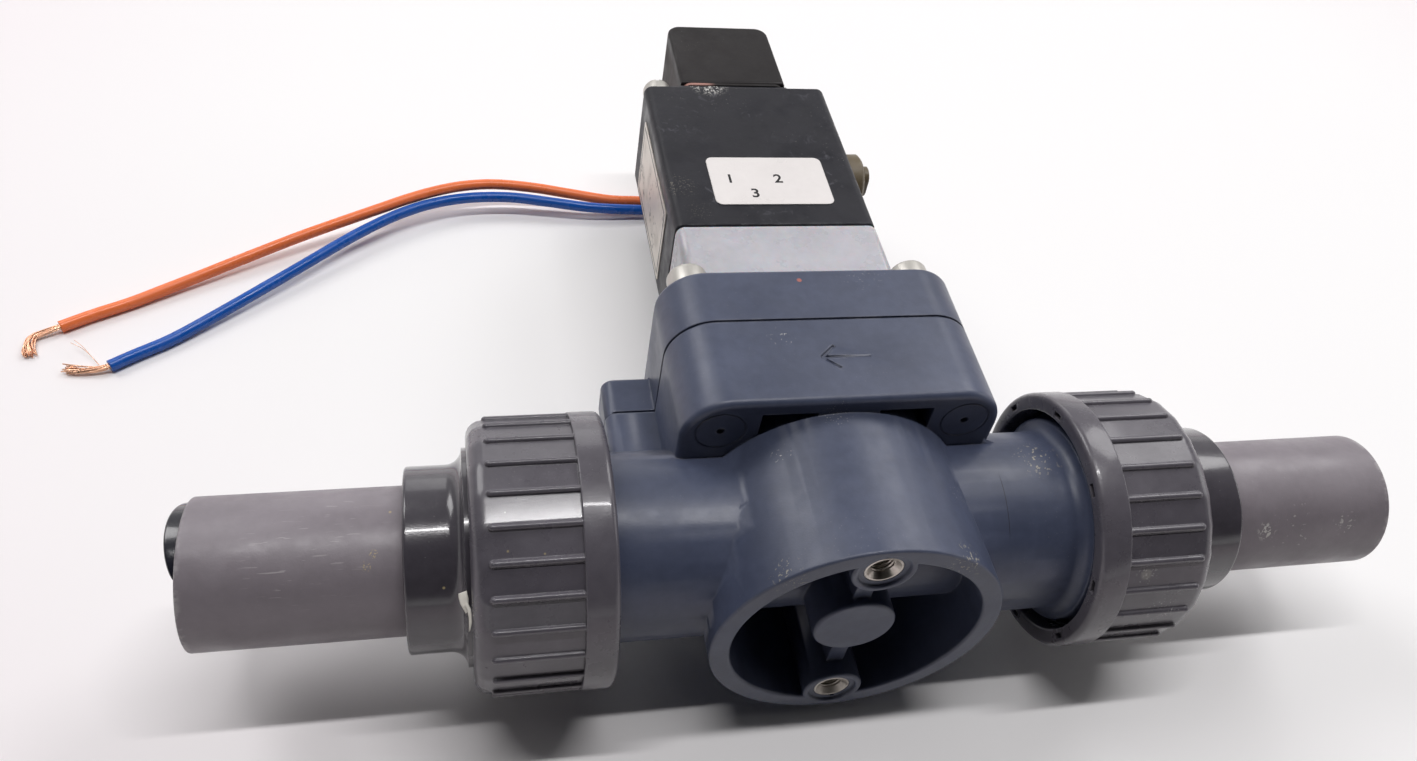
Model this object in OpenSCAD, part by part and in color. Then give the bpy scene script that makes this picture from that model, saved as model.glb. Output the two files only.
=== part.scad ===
// Solenoid-piloted diaphragm valve with union ends and pipe stubs, lying on the back of its bonnet.
// X runs along the flow, Y along the stem towards the plug, Z up from the surface it lies on.
// The modules are drawn round the crossing of the flow axis and the stem axis, then moved by placed().

/* [Pipe ends] */
// Outside diameter of the pipe stubs
pipe_d = 32; // [25:0.5:40]
// Wall of the pipe stubs
pipe_wall = 2.4; // [1.6:0.2:4]
// Length of pipe that stands out of each tail
pipe_free = 43.5; // [20:0.5:80]
// Depth of the glued socket in the tail
socket_depth = 18; // [12:0.5:18.5]
// Glue film between pipe and socket
glue_gap = 0.05; // [0.02:0.01:0.1]
// How much the glued stretch of pipe is turned down
pipe_scrape = 0.6; // [0.4:0.1:1]

/* [Unions] */
// Wall of the tail round the pipe
tail_wall = 4; // [2.5:0.25:6]
// Radius of the hollow fillet between the tail and its thicker root
tail_fillet = 3.5; // [2:0.25:5]
// Length of tail that stands out of the nut
tail_len = 13.1; // [11:0.1:25]
// How far the tail's collar stands past its root
collar_step = 2.1; // [1.5:0.1:3]
// Length of the nut
nut_len = 29; // [27.5:0.5:40]
// How far the nut reaches back over the body's end
nut_reach = 18.6; // [16:0.1:19]
// Thickness of the nut's inner lip
nut_lip = 5.5; // [3.5:0.25:6]
// Wall of the nut outside its thread
nut_wall = 3.1; // [2.5:0.1:5]
// Rounding of the nut's outer end
nut_round = 3.5; // [1:0.25:4.5]
// Width of the plain band on the nut
nut_band = 7; // [4:0.5:9]
// Number of ribs on the nut
rib_count = 26; // [12:1:30]
// Width of a rib
rib_w = 1.5; // [0.8:0.1:2.5]
// Height of a rib and of the band
rib_h = 0.8; // [0.4:0.1:1.5]
// Number of notches in the nut's face
notch_count = 8; // [4:1:12]
// Width of a notch
notch_w = 3; // [1.5:0.25:5]
// Depth of a notch
notch_depth = 1.4; // [0.6:0.1:3]
// Length of the body's thread
thread_len = 14; // [10:0.5:15]
// Radial play of the nut on the thread
thread_gap = 0.3; // [0.25:0.05:0.5]
// Play between the collar and the parts round it
collar_gap = 0.35; // [0.3:0.05:0.5]
// Section of the union's O-ring
seal_d = 2.8; // [2:0.1:3.6]

/* [Body] */
// Diameter of the flow bore
bore_d = 25; // [20:0.5:28]
// Wall of the necks
neck_wall = 8.5; // [6:0.25:10]
// Distance from the stem axis to each end face
body_half = 71; // [68:0.5:90]
// Hollow fillet where a neck meets its collar
neck_fillet = 3; // [1.5:0.25:4]
// Diameter of the valve seat's bore
seat_d = 20; // [16:0.5:22]
// Wall of the seat's nozzle
seat_wall = 3; // [2:0.25:3.5]
// Height of the seat above the flow axis
seat_y = 27; // [25.5:0.25:28]
// Diameter of the chamber round the nozzle
chamber_d = 47; // [46:0.5:49]
// Wall left under the chamber
chamber_wall = 3.5; // [2.5:0.25:4.5]

/* [Foot cup] */
// Distance from the flow axis to the cup's rim
foot_y = 27; // [25:0.5:34]
// Outside diameter of the rim
foot_d = 65.2; // [63:0.2:72]
// Outside diameter of the drum under the flange
drum_d = 65; // [62:0.5:65]
// Wall of the cup at its rim
foot_wall = 4.6; // [3.5:0.1:5]
// Wall left between the flow bore and the cup
tube_wall = 3.5; // [2.5:0.25:4.5]
// Diameter of the middle post
post_d = 18.6; // [12:0.2:22]
// How far the post's face lies inside the rim
post_inset = 2; // [1:0.25:4]
// Width of the rib across the cup
rib_t = 4; // [2.5:0.5:6]
// How far the rib lies inside the rim
rib_inset = 4; // [3:0.5:6]
// Distance between the two inserts
insert_pitch = 50; // [46:0.5:52]
// Outside diameter of an insert
insert_d = 8.4; // [7.5:0.1:9]
// Bore of an insert
insert_bore = 5; // [4:0.1:6]
// Length of an insert
insert_len = 10; // [8:0.5:11]
// Diameter of the boss round an insert
boss_d = 14; // [12.5:0.5:15]
// Depth of the ring recess round an insert
recess_depth = 0.8; // [0.4:0.1:1.5]

/* [Bonnet] */
// Width of the square bonnet
bonnet_w = 73.4; // [72:0.2:80]
// Corner radius of the bonnet
bonnet_r = 11; // [8:0.5:13]
// Height of the split above the flow axis
split_y = 33; // [32.5:0.25:36]
// Height of the flange under the split
flange_h = 24; // [20:0.5:25]
// Thickness of the flange's plate
flange_plate = 10; // [8:0.5:11]
// Wall of the flange in front of and behind its reliefs
skirt_wall = 4; // [2.5:0.25:5]
// Distance from the stem axis to a relief's near side
relief_near = 7; // [5:0.5:9]
// Distance from the stem axis to a relief's far side
relief_far = 19.5; // [16:0.5:21]
// Height of the cover
cover_h = 16.5; // [16:0.25:20]
// Thickness of the cover's roof
roof_t = 6.5; // [6:0.25:7]
// Width and depth of the groove along the split
split_groove = 0.5; // [0.3:0.1:1]
// Reach of the ear from the stem axis
ear_x = 48.5; // [47.5:0.25:51]
// Thickness of the ear
ear_t = 13; // [11:0.5:20]
// Height of the ear above the split
ear_h = 11; // [8:0.25:12]
// Corner radius of the ear
ear_r = 3; // [1.5:0.25:5]
// Distance from the stem axis to the channel in the ear
channel_x = 42; // [41.5:0.25:43]
// Diameter of the pilot channels
channel_d = 3; // [2:0.25:3.5]
// Section of the channel's O-ring
channel_seal_d = 1.8; // [1.4:0.1:2.2]

/* [Bonnet screws] */
// Distance from a screw's axis to the bonnet's face
screw_inset = 8.7; // [8:0.1:9.5]
// Shank diameter of the bonnet screws
screw_d = 6; // [4:0.5:6]
// Head diameter of the bonnet screws
screw_head_d = 10; // [8.5:0.1:10.5]
// Head height of the bonnet screws
screw_head_h = 6; // [4:0.25:7]
// Width across the hexagon in a head
screw_hex = 5; // [3:0.5:5]
// Thickness of the washers
washer_t = 1.2; // [0.6:0.1:1.6]
// Outside diameter of the washers
washer_d = 11.4; // [10.8:0.1:11.6]
// Play of a screw in its hole
screw_gap = 0.05; // [0.02:0.01:0.2]
// Length of thread in the body
screw_grip = 14; // [10:0.5:16]

/* [Diaphragm] */
// Diameter of the clamped rim
rim_d = 61; // [58:0.5:61]
// Thickness of the clamped rim
rim_t = 2.4; // [1.8:0.1:3]
// Thickness of the diaphragm's middle
disc_t = 2.4; // [1.8:0.1:3]
// Diameter of the diaphragm's middle
disc_d = 30; // [28:0.5:32]
// Diameter of the plate on the diaphragm
plate_d = 26; // [24:0.5:27]
// Thickness of the plate
plate_t = 2.6; // [2:0.1:3]
// Diameter of the guide stem
stem_d = 8; // [7:0.5:9]
// Diameter of the retainer under the diaphragm
retainer_d = 15; // [12:0.5:15]
// Thickness of the retainer
retainer_t = 3; // [2:0.25:4]
// Diameter of the retainer's stud
stud_d = 5; // [4:0.25:5]
// Lift of the diaphragm
lift = 4; // [3:0.25:4.5]
// Radial clearance of sliding and turning fits
run_gap = 0.05; // [0.02:0.01:0.1]
// Inside diameter of the main spring
spring_d = 16; // [15:0.5:17]
// Wire of the main spring
spring_wire = 1.5; // [1:0.1:1.8]
// Turns of the main spring
spring_turns = 4; // [3:0.5:5]

/* [Pilot] */
// How far the sides of the pilot and of the coil block lie inside the bonnet's
block_inset = 9.7; // [7:0.1:10.5]
// Depth of the pilot and of the coil block
block_d = 34; // [33:0.5:38]
// How far the pilot's front lies behind the bonnet's front
front_inset = 11.2; // [10:0.1:12]
// Height of the pilot body
pilot_h = 28; // [26:0.5:30]
// Thickness of the flat gaskets
gasket_t = 1; // [0.6:0.1:1.6]
// Corner radius of the block
block_r = 2.5; // [1:0.25:3]
// Distance from the coil axis to the rocker's pivot
rocker_arm = 10; // [8:0.5:11]
// Diameter of the rocker's pin
pin_d = 3; // [2:0.25:3]
// Thickness of the rocker
rocker_t = 3; // [2.5:0.25:4]
// Width of the rocker
rocker_w = 7; // [5:0.5:8]
// Height of the rocker's middle above the pilot body's foot
rocker_y = 15; // [14:0.25:16]
// Outside diameter of a pilot seat
pilot_seat_d = 5; // [4:0.25:5.5]
// Height of a pilot seat
pilot_seat_h = 4; // [3:0.25:5]

/* [Coil] */
// Height of the coil block
coil_h = 61; // [59:0.5:75]
// Diameter of the armature and the core
armature_d = 12; // [11:0.5:14]
// Stroke of the armature
stroke = 1; // [0.6:0.1:1.2]
// Diameter of the armature's nose
nose_d = 4; // [3:0.5:4]
// Wall of the bobbin's tube
bobbin_wall = 1; // [0.8:0.1:1.5]
// Thickness of the bobbin's flanges
bobbin_flange = 1.5; // [1:0.25:2.5]
// Depth of the winding, drawn as solid as its copper
winding_t = 2.2; // [2:0.2:4.6]
// Thickness of the steel yoke
yoke_t = 2; // [1.5:0.25:3]
// Width of the yoke
yoke_w = 20; // [18:0.5:26]
// Wall at the far end of the coil block
end_wall = 12; // [10:0.5:13]
// Shank diameter of the coil screws
coil_screw_d = 4; // [3:0.5:4]
// Head diameter of the coil screws
coil_head_d = 8; // [6.5:0.25:8]
// Head height of the coil screws
coil_head_h = 4.6; // [3:0.2:6]
// Distance from a coil screw to the faces beside it
coil_screw_inset = 4.5; // [4.5:0.1:4.6]

/* [Override and plates] */
// Height of the override above the coil block's foot
override_y = 33.5; // [25:0.5:40]
// How far the override lies in front of the coil axis
override_z = 4; // [0:0.5:6]
// Diameter of the override's shaft
shaft_d = 6; // [5:0.25:7]
// Diameter of the override's knob
hub_d = 15.4; // [15:0.4:19]
// Thickness of the override's knob
hub_len = 6; // [4.5:0.5:7]
// Chamfer round the knob's outer edge
hub_chamfer = 0.8; // [0.4:0.1:1.2]
// Length of the override's grip
grip_len = 9; // [8:0.5:14]
// Width of the override's grip
grip_w = 6; // [4.5:0.25:7]
// Height of the override's grip
grip_h = 2.4; // [1.6:0.2:3.2]
// Gap between the knob and the block
hub_gap = 0.3; // [0.2:0.05:0.5]
// Section of the override's O-ring
override_seal_d = 1.2; // [1:0.1:1.4]
// Width of the front label
label_w = 32.4; // [24:0.2:40]
// Height of the front label
label_h = 19.6; // [12:0.2:24]
// Height of the label's middle above the coil block's foot
label_y = 17.5; // [14:0.25:35]
// Thickness of the label
label_t = 0.2; // [0.1:0.05:0.4]
// Length of the nameplate
nameplate_len = 41; // [30:0.5:46]
// Width of the nameplate
nameplate_w = 24; // [16:0.5:27]
// Thickness of the nameplate
nameplate_t = 0.3; // [0.2:0.05:0.6]

/* [Plug] */
// Width of the plug
plug_w = 31.4; // [29:0.2:34]
// Depth of the plug
plug_d = 33; // [30:0.5:33.5]
// Height of the plug
plug_h = 29.9; // [29:0.1:36]
// Rounding of the plug's far corners
plug_r = 4; // [2:0.25:5]
// Wall of the plug
plug_wall = 2.6; // [2:0.1:3.5]
// Width of the terminal plate
terminal_w = 34; // [32:0.5:38]
// Thickness of the terminal plate
terminal_t = 1.5; // [1:0.1:2.5]
// Width of a terminal blade
blade_w = 6.3; // [5:0.1:6.3]
// Thickness of a terminal blade
blade_t = 0.8; // [0.6:0.05:1]
// Free length of a terminal blade
blade_len = 9; // [7:0.5:11]
// Distance between the two live blades
blade_pitch = 18; // [16:0.25:18]
// Width of the plug gasket's frame
gasket_frame = 3; // [2:0.25:4]
// Diameter of the plug's screw
plug_screw_d = 3; // [2.5:0.25:3]
// Head diameter of the plug's screw
plug_head_d = 5.6; // [5:0.2:6]
// Height from the plug's foot to the cable gland's axis
gland_y = 14; // [12:0.25:16]
// Width across the gland nut's flats
gland_hex = 17; // [14:0.5:18]
// Length of the gland nut
gland_len = 11; // [9:0.25:11.5]
// Diameter of the gland's bore
gland_bore = 9; // [8:0.25:9.5]
// Outside diameter of a wire
wire_d = 3.4; // [2.6:0.1:3.4]
// Diameter of a bundle of bare strands
strand_d = 1.8; // [1.2:0.1:2]
// Play between a wire and its hole
wire_gap = 0.05; // [0.03:0.01:0.1]

/* [Arrow] */
// Length of the flow arrow
arrow_len = 11.4; // [6:0.2:16]
// Width of the flow arrow's head
arrow_head = 6.6; // [3:0.2:9]
// Width of the arrow's groove
arrow_w = 0.8; // [0.4:0.1:1.4]
// Depth of the arrow's groove
arrow_depth = 0.4; // [0.2:0.1:0.8]
// How far the arrow lies under the split
arrow_y = 11.5; // [8:0.25:14]
// How far the arrow's middle lies to the right of the stem axis
arrow_x = 1.5; // [-4:0.25:4]

/* [Hidden] */
$fn = 64;

// Overlap of cutters past the face they open
cut = 1;

// Unions, as radii and as distances from the stem axis
pipe_r = pipe_d / 2;
tail_r = pipe_r + tail_wall;
root_r = tail_r + tail_fillet;
collar_r = root_r + collar_step;
thread_r = collar_r + collar_gap;
nut_bore_r = thread_r + thread_gap;
nut_r = nut_bore_r + nut_wall;
rib_r = nut_r + rib_h;
band_r = rib_r + 0.15;
nut_x0 = body_half - nut_reach;
nut_x1 = nut_x0 + nut_len;
lip_x = nut_x1 - nut_lip;
collar_x0 = body_half + collar_gap;
collar_x1 = lip_x - collar_gap;
root_x1 = nut_x1 + 1;
tail_x1 = nut_x1 + tail_len;
pipe_x0 = tail_x1 - socket_depth;
pipe_x1 = tail_x1 + pipe_free;
spigot_r = pipe_r - pipe_scrape;
socket_r = spigot_r + glue_gap;
union_chamfer = 0.8;
band_chamfer = 0.6;
notch_in = 1;
notch_rise = 1.2;

// Body
bore_r = bore_d / 2;
neck_r = bore_r + neck_wall;
seal_ring_r = (bore_r + thread_r) / 2;
seal_groove_gap = 0.3;
seat_r = seat_d / 2;
nozzle_r = seat_r + seat_wall;
chamber_r = chamber_d / 2;
chamber_floor = bore_r + chamber_wall;
port_x = (nozzle_r + chamber_r) / 2;
port_r = (chamber_r - nozzle_r) / 2 - 0.2;
port_spread = 32;
foot_r = foot_d / 2;
drum_r = drum_d / 2;
cup_r = foot_r - foot_wall;
cup_taper = 1;
floor_rise = 8;
cup_floor = bore_r - floor_rise;
tube_r = bore_r + tube_wall;
insert_z = insert_pitch / 2;
insert_gap = 0.02;
recess_r = insert_d / 2 + 1.3;

// Bonnet
bonnet_half = bonnet_w / 2;
block_half = bonnet_half - block_inset;
pilot_z = bonnet_half - front_inset - block_d / 2;
skirt_y = split_y - flange_h;
plate_y = split_y - flange_plate;
cover_y = split_y + cover_h;
chamber_top = cover_y - roof_t;
screw_p = bonnet_half - screw_inset;
mark_r = 5.5;
mark_w = 0.3;
mark_depth = 0.3;
dot_d = 1.8;
channel_r = channel_d / 2;
channel_y = split_y + ear_h - 4;
channel_inset = 6;
channel_slope = 9;
channel_out_x = block_half - channel_inset;
channel_turn_x = channel_out_x + channel_slope;
channel_groove_r = channel_r + channel_seal_d + 0.4;

// Diaphragm and its plate
cover_chamber_r = chamber_r - 2;
rim_r = rim_d / 2;
disc_r = disc_d / 2;
disc_y0 = seat_y + 0.05;
disc_y1 = disc_y0 + disc_t;
web_t = 1.6;
plate_y0 = disc_y1 + 0.02;
plate_y1 = plate_y0 + plate_t;
stem_r = stem_d / 2;
stem_top = cover_y - 2 - lift;
guide_r = stem_r + 2.5;
guide_y = plate_y1 + lift + 1;
stud_r = stud_d / 2;
stud_top = plate_y1 + 2;
retainer_y = disc_y0 - 0.03;
spring_coil_r = spring_d / 2 + spring_wire / 2;

// Pilot body and rocker
gasket_y = cover_y + gasket_t;
block_y = gasket_y + pilot_h;
block_w = 2 * block_half;
block_front = pilot_z + block_d / 2;
block_back = pilot_z - block_d / 2;
head_relief = washer_d / 2 + 0.3;
rocker_mid_y = gasket_y + rocker_y;
rocker_x = -rocker_arm;
rocker_end = nose_d / 2;
rocker_tail = 8;
rocker_gap = 0.4;
pocket_y = gasket_y + 8;
pocket_w = rocker_w + 5;
membrane_t = 1;
membrane_r = rocker_w / 2 + 0.8;
seat_x = rocker_x - 5;

// Coil block
coil_y = block_y;
coil_end = coil_y + coil_h;
cavity_top = coil_end - end_wall;
cavity_half = block_half - 2 * coil_screw_inset + 1.5;
armature_r = armature_d / 2;
tube_in = armature_r + run_gap;
tube_out = tube_in + bobbin_wall;
winding_in = tube_out + 0.05;
winding_out = winding_in + winding_t;
bobbin_r = winding_out + 0.3;
yoke_y0 = coil_y + 0.5;
yoke_y1 = cavity_top - 0.5;
yoke_half = bobbin_r + 2 + yoke_t;
bobbin_y0 = yoke_y0 + yoke_t + 0.1;
bobbin_y1 = yoke_y1 - yoke_t - 0.1;
core_y = (bobbin_y0 + bobbin_y1) / 2 + 4;
armature_y0 = bobbin_y0 + 0.5;
armature_y1 = core_y - stroke - 0.2;
nose_y = rocker_mid_y + rocker_t / 2 + rocker_gap;
nose_hole_r = nose_d / 2 + 0.4;
coil_head_y = coil_end + coil_head_h;
coil_screw_x = block_half - coil_screw_inset;
coil_screw_z = block_d / 2 - coil_screw_inset;
coil_screw_tip = cover_y - 4.5;
arm_spring_wire = 0.7;
arm_spring_r = 2.2;
arm_spring_hole = 3;
arm_spring_depth = 10;
arm_spring_turns = 6;

// Override
shaft_r = shaft_d / 2;
lever_y = coil_y + override_y;
lever_z = pilot_z + override_z;
hub_x0 = block_half + hub_gap;
hub_x1 = hub_x0 + hub_len;
grip_x1 = hub_x1 + grip_h;
lever_seal_x = block_half - 3;

// Plug
terminal_y = coil_end + terminal_t;
plug_y = terminal_y + gasket_t;
plug_end = plug_y + plug_h;
plug_half = plug_w / 2;
plug_back = pilot_z - plug_d / 2;
plug_roof = 6;
plug_cavity_top = plug_end - plug_roof;
blade_top = terminal_y + blade_len;
slot_gap = 0.05;
blade_z = 9;
screw_recess = 3;
plug_screw_tip = coil_end - 8;
gland_axis_y = plug_y + gland_y;
gland_z1 = plug_back;
gland_z0 = gland_z1 - gland_len;
gland_thread_r = gland_bore / 2 + 1.4;
gland_hole_r = gland_thread_r + 0.05;
gland_inner_z = gland_z1 + plug_wall;
bush_r = gland_bore / 2 - 0.02;
bush_y0 = gland_z0 + 0.8;
wire_half_pitch = 2;
orange_y = gland_axis_y + wire_half_pitch;
blue_y = gland_axis_y - wire_half_pitch;
wire_start_z = gland_inner_z + 2;
wire_r = wire_d / 2;
strand_r = strand_d / 2;

// Frame: the middle of the plan is the origin and the back of the bonnet lies on the surface
mid_y = (plug_end - band_r) / 2;

// Routes of the two wires from the gland to their stripped ends, then of the bare strands
orange_route = [
    [0, orange_y, wire_start_z], [0, orange_y, gland_z0 - 1], [0, orange_y, gland_z0 - 2.5],
    [-2, orange_y, -27], [-7, orange_y, -32], [-14, 158, -33.5], [-22, 158.5, -33.5],
    [-31, 158.5, -33], [-44, 160, -31.5], [-56, 161, -29.8], [-68, 161.5, -28.8], [-78, 160, -28.2],
    [-87, 157.4, -28.2], [-96, 154, -28.7], [-104, 150.4, -29.3], [-116, 145.2, -30.4], [-128, 139.8, -31.5],
    [-142, 133, -33], [-155, 126, -34], [-164, 121, -34.5], [-173, 116, -34.9], [-182, 111.5, -34.9],
    [-190, 107, -34.9]
];
blue_route = [
    [0, blue_y, wire_start_z], [0, blue_y, gland_z0 - 1], [0, blue_y, gland_z0 - 2.5],
    [-2, blue_y, -27], [-7, blue_y, -32], [-14, 154, -33.5], [-22, 154, -33.5],
    [-37, 154, -32.5], [-50, 155.5, -31.5], [-62, 157, -30.7], [-72, 157, -30.4], [-81, 155.9, -30.4],
    [-90, 153.2, -30.4], [-98, 149.5, -30.7], [-105, 145.2, -31.1], [-114, 138.5, -31.6], [-127, 127.6, -32.5],
    [-140, 117, -33.5], [-153, 106.5, -34.4], [-161, 100.5, -34.9], [-169, 95.5, -34.9], [-175, 91.5, -34.9]
];
orange_strand_route = [
    [-190, 107, -34.9], [-193.5, 105.5, -35.2], [-197, 104, -35.4], [-197.5, 100.5, -35.6], [-196, 97, -35.7]
];
blue_strand_route = [[-175, 91.5, -34.9], [-178.5, 90.5, -35.3], [-182.5, 90.5, -35.5], [-187, 91, -35.6]];

function unit(v) = v / norm(v);

// Points of a smooth curve through a route, each stretch split into steps
function smooth_route(route, steps) = let (last = len(route) - 1) concat(
    [for (i = [0:last - 1], k = [0:steps - 1]) let (
        a = route[max(i - 1, 0)], b = route[i], c = route[i + 1], d = route[min(i + 2, last)], t = k / steps)
        b + ((c - a) * t + (2 * a - 5 * b + 4 * c - d) * t ^ 2 + (3 * b - a - 3 * c + d) * t ^ 3) / 2],
    [route[last]]);

function tangents(path) = let (last = len(path) - 1)
    [for (i = [0:last]) unit(path[min(i + 1, last)] - path[max(i - 1, 0)])];

// A sideways direction at each point, carried along the path without twist
function sides(dirs) = let (seed = abs(dirs[0].z) < 0.9 ? [0, 0, 1] : [1, 0, 0])
    [for (i = 0, n = unit(cross(cross(dirs[0], seed), dirs[0])); i < len(dirs); i = i + 1,
        n = i < len(dirs) ? unit(n - (n * dirs[i]) * dirs[i]) : n) n];

module swept_tube(path, radius, count) {
    dirs = tangents(path);
    across = sides(dirs);
    last = len(path) - 1;
    points = [for (i = [0:last], k = [0:count - 1]) let (
        turn = 360 * k / count, up = cross(dirs[i], across[i]))
        path[i] + radius * (cos(turn) * across[i] + sin(turn) * up)];
    walls = [for (i = [0:last - 1], k = [0:count - 1]) let (
        a = i * count + k, b = i * count + (k + 1) % count, c = a + count, d = b + count)
        each [[a, c, b], [b, c, d]]];
    start = [for (k = [1:count - 2]) [0, k, k + 1]];
    finish = [for (k = [1:count - 2]) [last * count, last * count + k + 1, last * count + k]];
    polyhedron(points, concat(walls, start, finish), convexity = 6);
}

// A helical spring along Y between two heights
module coil_spring(x, z, y0, y1, radius, wire, turns) {
    rings = 12 * turns;
    rise = y1 - y0 - wire;
    path = [for (i = [0:rings]) let (turn = 360 * turns * i / rings)
        [x + radius * cos(turn), y0 + wire / 2 + rise * i / rings, z + radius * sin(turn)]];
    swept_tube(path, wire / 2 - 0.02, 6);
}

function arc(x, y, r, from, to, steps = 8) =
    [for (i = [0:steps]) let (a = from + (to - from) * i / steps) [x + r * cos(a), y + r * sin(a)]];

module placed() translate([0, -mid_y, bonnet_half]) children();

module along_x() rotate([0, 90, 0]) children();

module along_y() rotate([-90, 0, 0]) children();

module x_rod(y, z, x0, x1, r) translate([x0, y, z]) along_x() cylinder(h = x1 - x0, r = r);

module y_rod(x, z, y0, y1, r) translate([x, y0, z]) along_y() cylinder(h = y1 - y0, r = r);

module z_rod(x, y, z0, z1, r) translate([x, y, z0]) cylinder(h = z1 - z0, r = r);

module block(x0, x1, y0, y1, z0, z1) translate([x0, y0, z0]) cube([x1 - x0, y1 - y0, z1 - z0]);

module x_ring(x, ring_r, section_r) translate([x, 0, 0]) along_x()
    rotate_extrude() translate([ring_r, 0]) circle(section_r, $fn = 24);

module rounded_rect(w, d, r) {
    square([w - 2 * r, d], center = true);
    square([w, d - 2 * r], center = true);
    for (i = [-1, 1], k = [-1, 1]) translate([i * (w / 2 - r), k * (d / 2 - r)]) circle(r);
}

// A slab across the stem with rounded corners
module y_slab(w, d, r, y0, y1, z_mid = 0) translate([0, y0, z_mid]) along_y()
    linear_extrude(y1 - y0) rounded_rect(w, d, r);

module at_corners() for (i = [-1, 1], k = [-1, 1]) translate([i * screw_p, 0, k * screw_p]) children();

module at_coil_screws() for (k = [-1, 1])
    translate([-k * coil_screw_x, 0, pilot_z + k * coil_screw_z]) children();

// Body

module neck_collar() along_x() rotate_extrude() polygon(concat(
    [[bore_r, body_half - thread_len - 2 * neck_fillet]],
    arc(neck_r + neck_fillet, body_half - thread_len - 2 * neck_fillet, neck_fillet, 180, 90),
    [[neck_r + neck_fillet, body_half - thread_len],
     [thread_r, body_half - thread_len + thread_r - neck_r - neck_fillet],
     [thread_r, body_half - union_chamfer],
     [thread_r - union_chamfer, body_half], [bore_r, body_half]]));

module drum() along_y() rotate_extrude() polygon([
    [0, -foot_y], [foot_r, -foot_y], [drum_r, plate_y], [drum_r, plate_y + 1], [0, plate_y + 1]]);

module flange() difference() {
    y_slab(bonnet_w, bonnet_w, bonnet_r, skirt_y, split_y);
    for (i = [0, 1]) mirror([i, 0, 0])
        block(relief_near, relief_far, skirt_y - cut, plate_y,
            skirt_wall - bonnet_half, bonnet_half - skirt_wall);
}

// The round mark of a plugged screw hole
module plug_mark() {
    difference() {
        y_rod(0, 0, skirt_y - cut, skirt_y + mark_depth, mark_r + mark_w / 2);
        y_rod(0, 0, skirt_y - 2 * cut, skirt_y + mark_depth + cut, mark_r - mark_w / 2);
    }
    y_rod(0, 0, skirt_y - cut, skirt_y + 1, dot_d / 2);
}

// The ear's outline in plan, drawn over a stretch of height
module ear(y0, y1) {
    block(-ear_x + ear_r, -bonnet_half + skirt_wall, y0, y1, -ear_t / 2, ear_t / 2);
    block(-ear_x, -bonnet_half, y0, y1, ear_r - ear_t / 2, ear_t / 2 - ear_r);
    for (k = [-1, 1]) y_rod(-ear_x + ear_r, k * (ear_t / 2 - ear_r), y0, y1, ear_r);
}

module cup_hollow() difference() {
    translate([0, -foot_y - cut, 0]) along_y()
        cylinder(h = foot_y + cut - cup_floor, r1 = cup_r, r2 = cup_r - cup_taper);
    x_rod(0, 0, -foot_r, foot_r, tube_r);
    y_rod(0, 0, post_inset - foot_y, 0, post_d / 2);
    for (k = [-1, 1]) y_rod(0, k * insert_z, -foot_y, 0, boss_d / 2);
    block(-rib_t / 2, rib_t / 2, rib_inset - foot_y, 0, -insert_z, insert_z);
}

module flow_ways() {
    x_rod(0, 0, -body_half - cut, seat_r / 2, bore_r);
    x_rod(0, 0, port_x - port_r, body_half + cut, bore_r);
    y_rod(0, 0, 0, seat_y + cut, seat_r);
    difference() {
        y_rod(0, 0, chamber_floor, split_y + cut, chamber_r);
        y_rod(0, 0, chamber_floor - cut, seat_y, nozzle_r);
    }
    for (turn = [-port_spread, 0, port_spread])
        rotate([0, turn, 0]) y_rod(port_x, 0, 0, chamber_floor + cut, port_r);
}

module arrow_groove() translate([arrow_x, split_y - arrow_y, bonnet_half - arrow_depth]) {
    translate([-arrow_len / 2, -arrow_w / 2, 0]) cube([arrow_len, arrow_w, arrow_depth + cut]);
    for (k = [-1, 1]) translate([-arrow_len / 2, 0, 0]) rotate([0, 0, k * 42])
        translate([0, -arrow_w / 2, 0]) cube([arrow_head * 0.75, arrow_w, arrow_depth + cut]);
}

module seal_groove() along_x() translate([0, 0, body_half - seal_d]) difference() {
    cylinder(h = seal_d + cut, r = seal_ring_r + seal_d / 2 + seal_groove_gap);
    translate([0, 0, -cut]) cylinder(h = seal_d + 3 * cut, r = seal_ring_r - seal_d / 2 - seal_groove_gap);
}

module valve_body() color("#3b4757") placed() difference() {
    union() {
        x_rod(0, 0, -body_half + thread_len, body_half - thread_len, neck_r);
        neck_collar();
        mirror([1, 0, 0]) neck_collar();
        drum();
        flange();
        ear(0, split_y);
    }
    cup_hollow();
    flow_ways();
    seal_groove();
    mirror([1, 0, 0]) seal_groove();
    for (k = [-1, 1]) {
        y_rod(0, k * insert_z, -foot_y - cut, insert_len + recess_depth - foot_y, insert_d / 2 + insert_gap);
        y_rod(0, k * insert_z, -foot_y - cut, recess_depth - foot_y, recess_r);
    }
    at_corners() {
        y_rod(0, 0, split_y - screw_grip - 1, split_y + cut, screw_d / 2 + screw_gap);
        plug_mark();
    }
    y_rod(-channel_x, 0, 0, split_y + cut, channel_r);
    y_rod(-channel_x, 0, split_y - channel_seal_d, split_y + cut, channel_groove_r);
    arrow_groove();
}

module foot_inserts() color("#b9a876") placed() for (k = [-1, 1]) difference() {
    y_rod(0, k * insert_z, recess_depth - foot_y, insert_len + recess_depth - foot_y, insert_d / 2);
    y_rod(0, k * insert_z, -foot_y, insert_len + recess_depth + cut - foot_y, insert_bore / 2);
}

// Diaphragm

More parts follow.
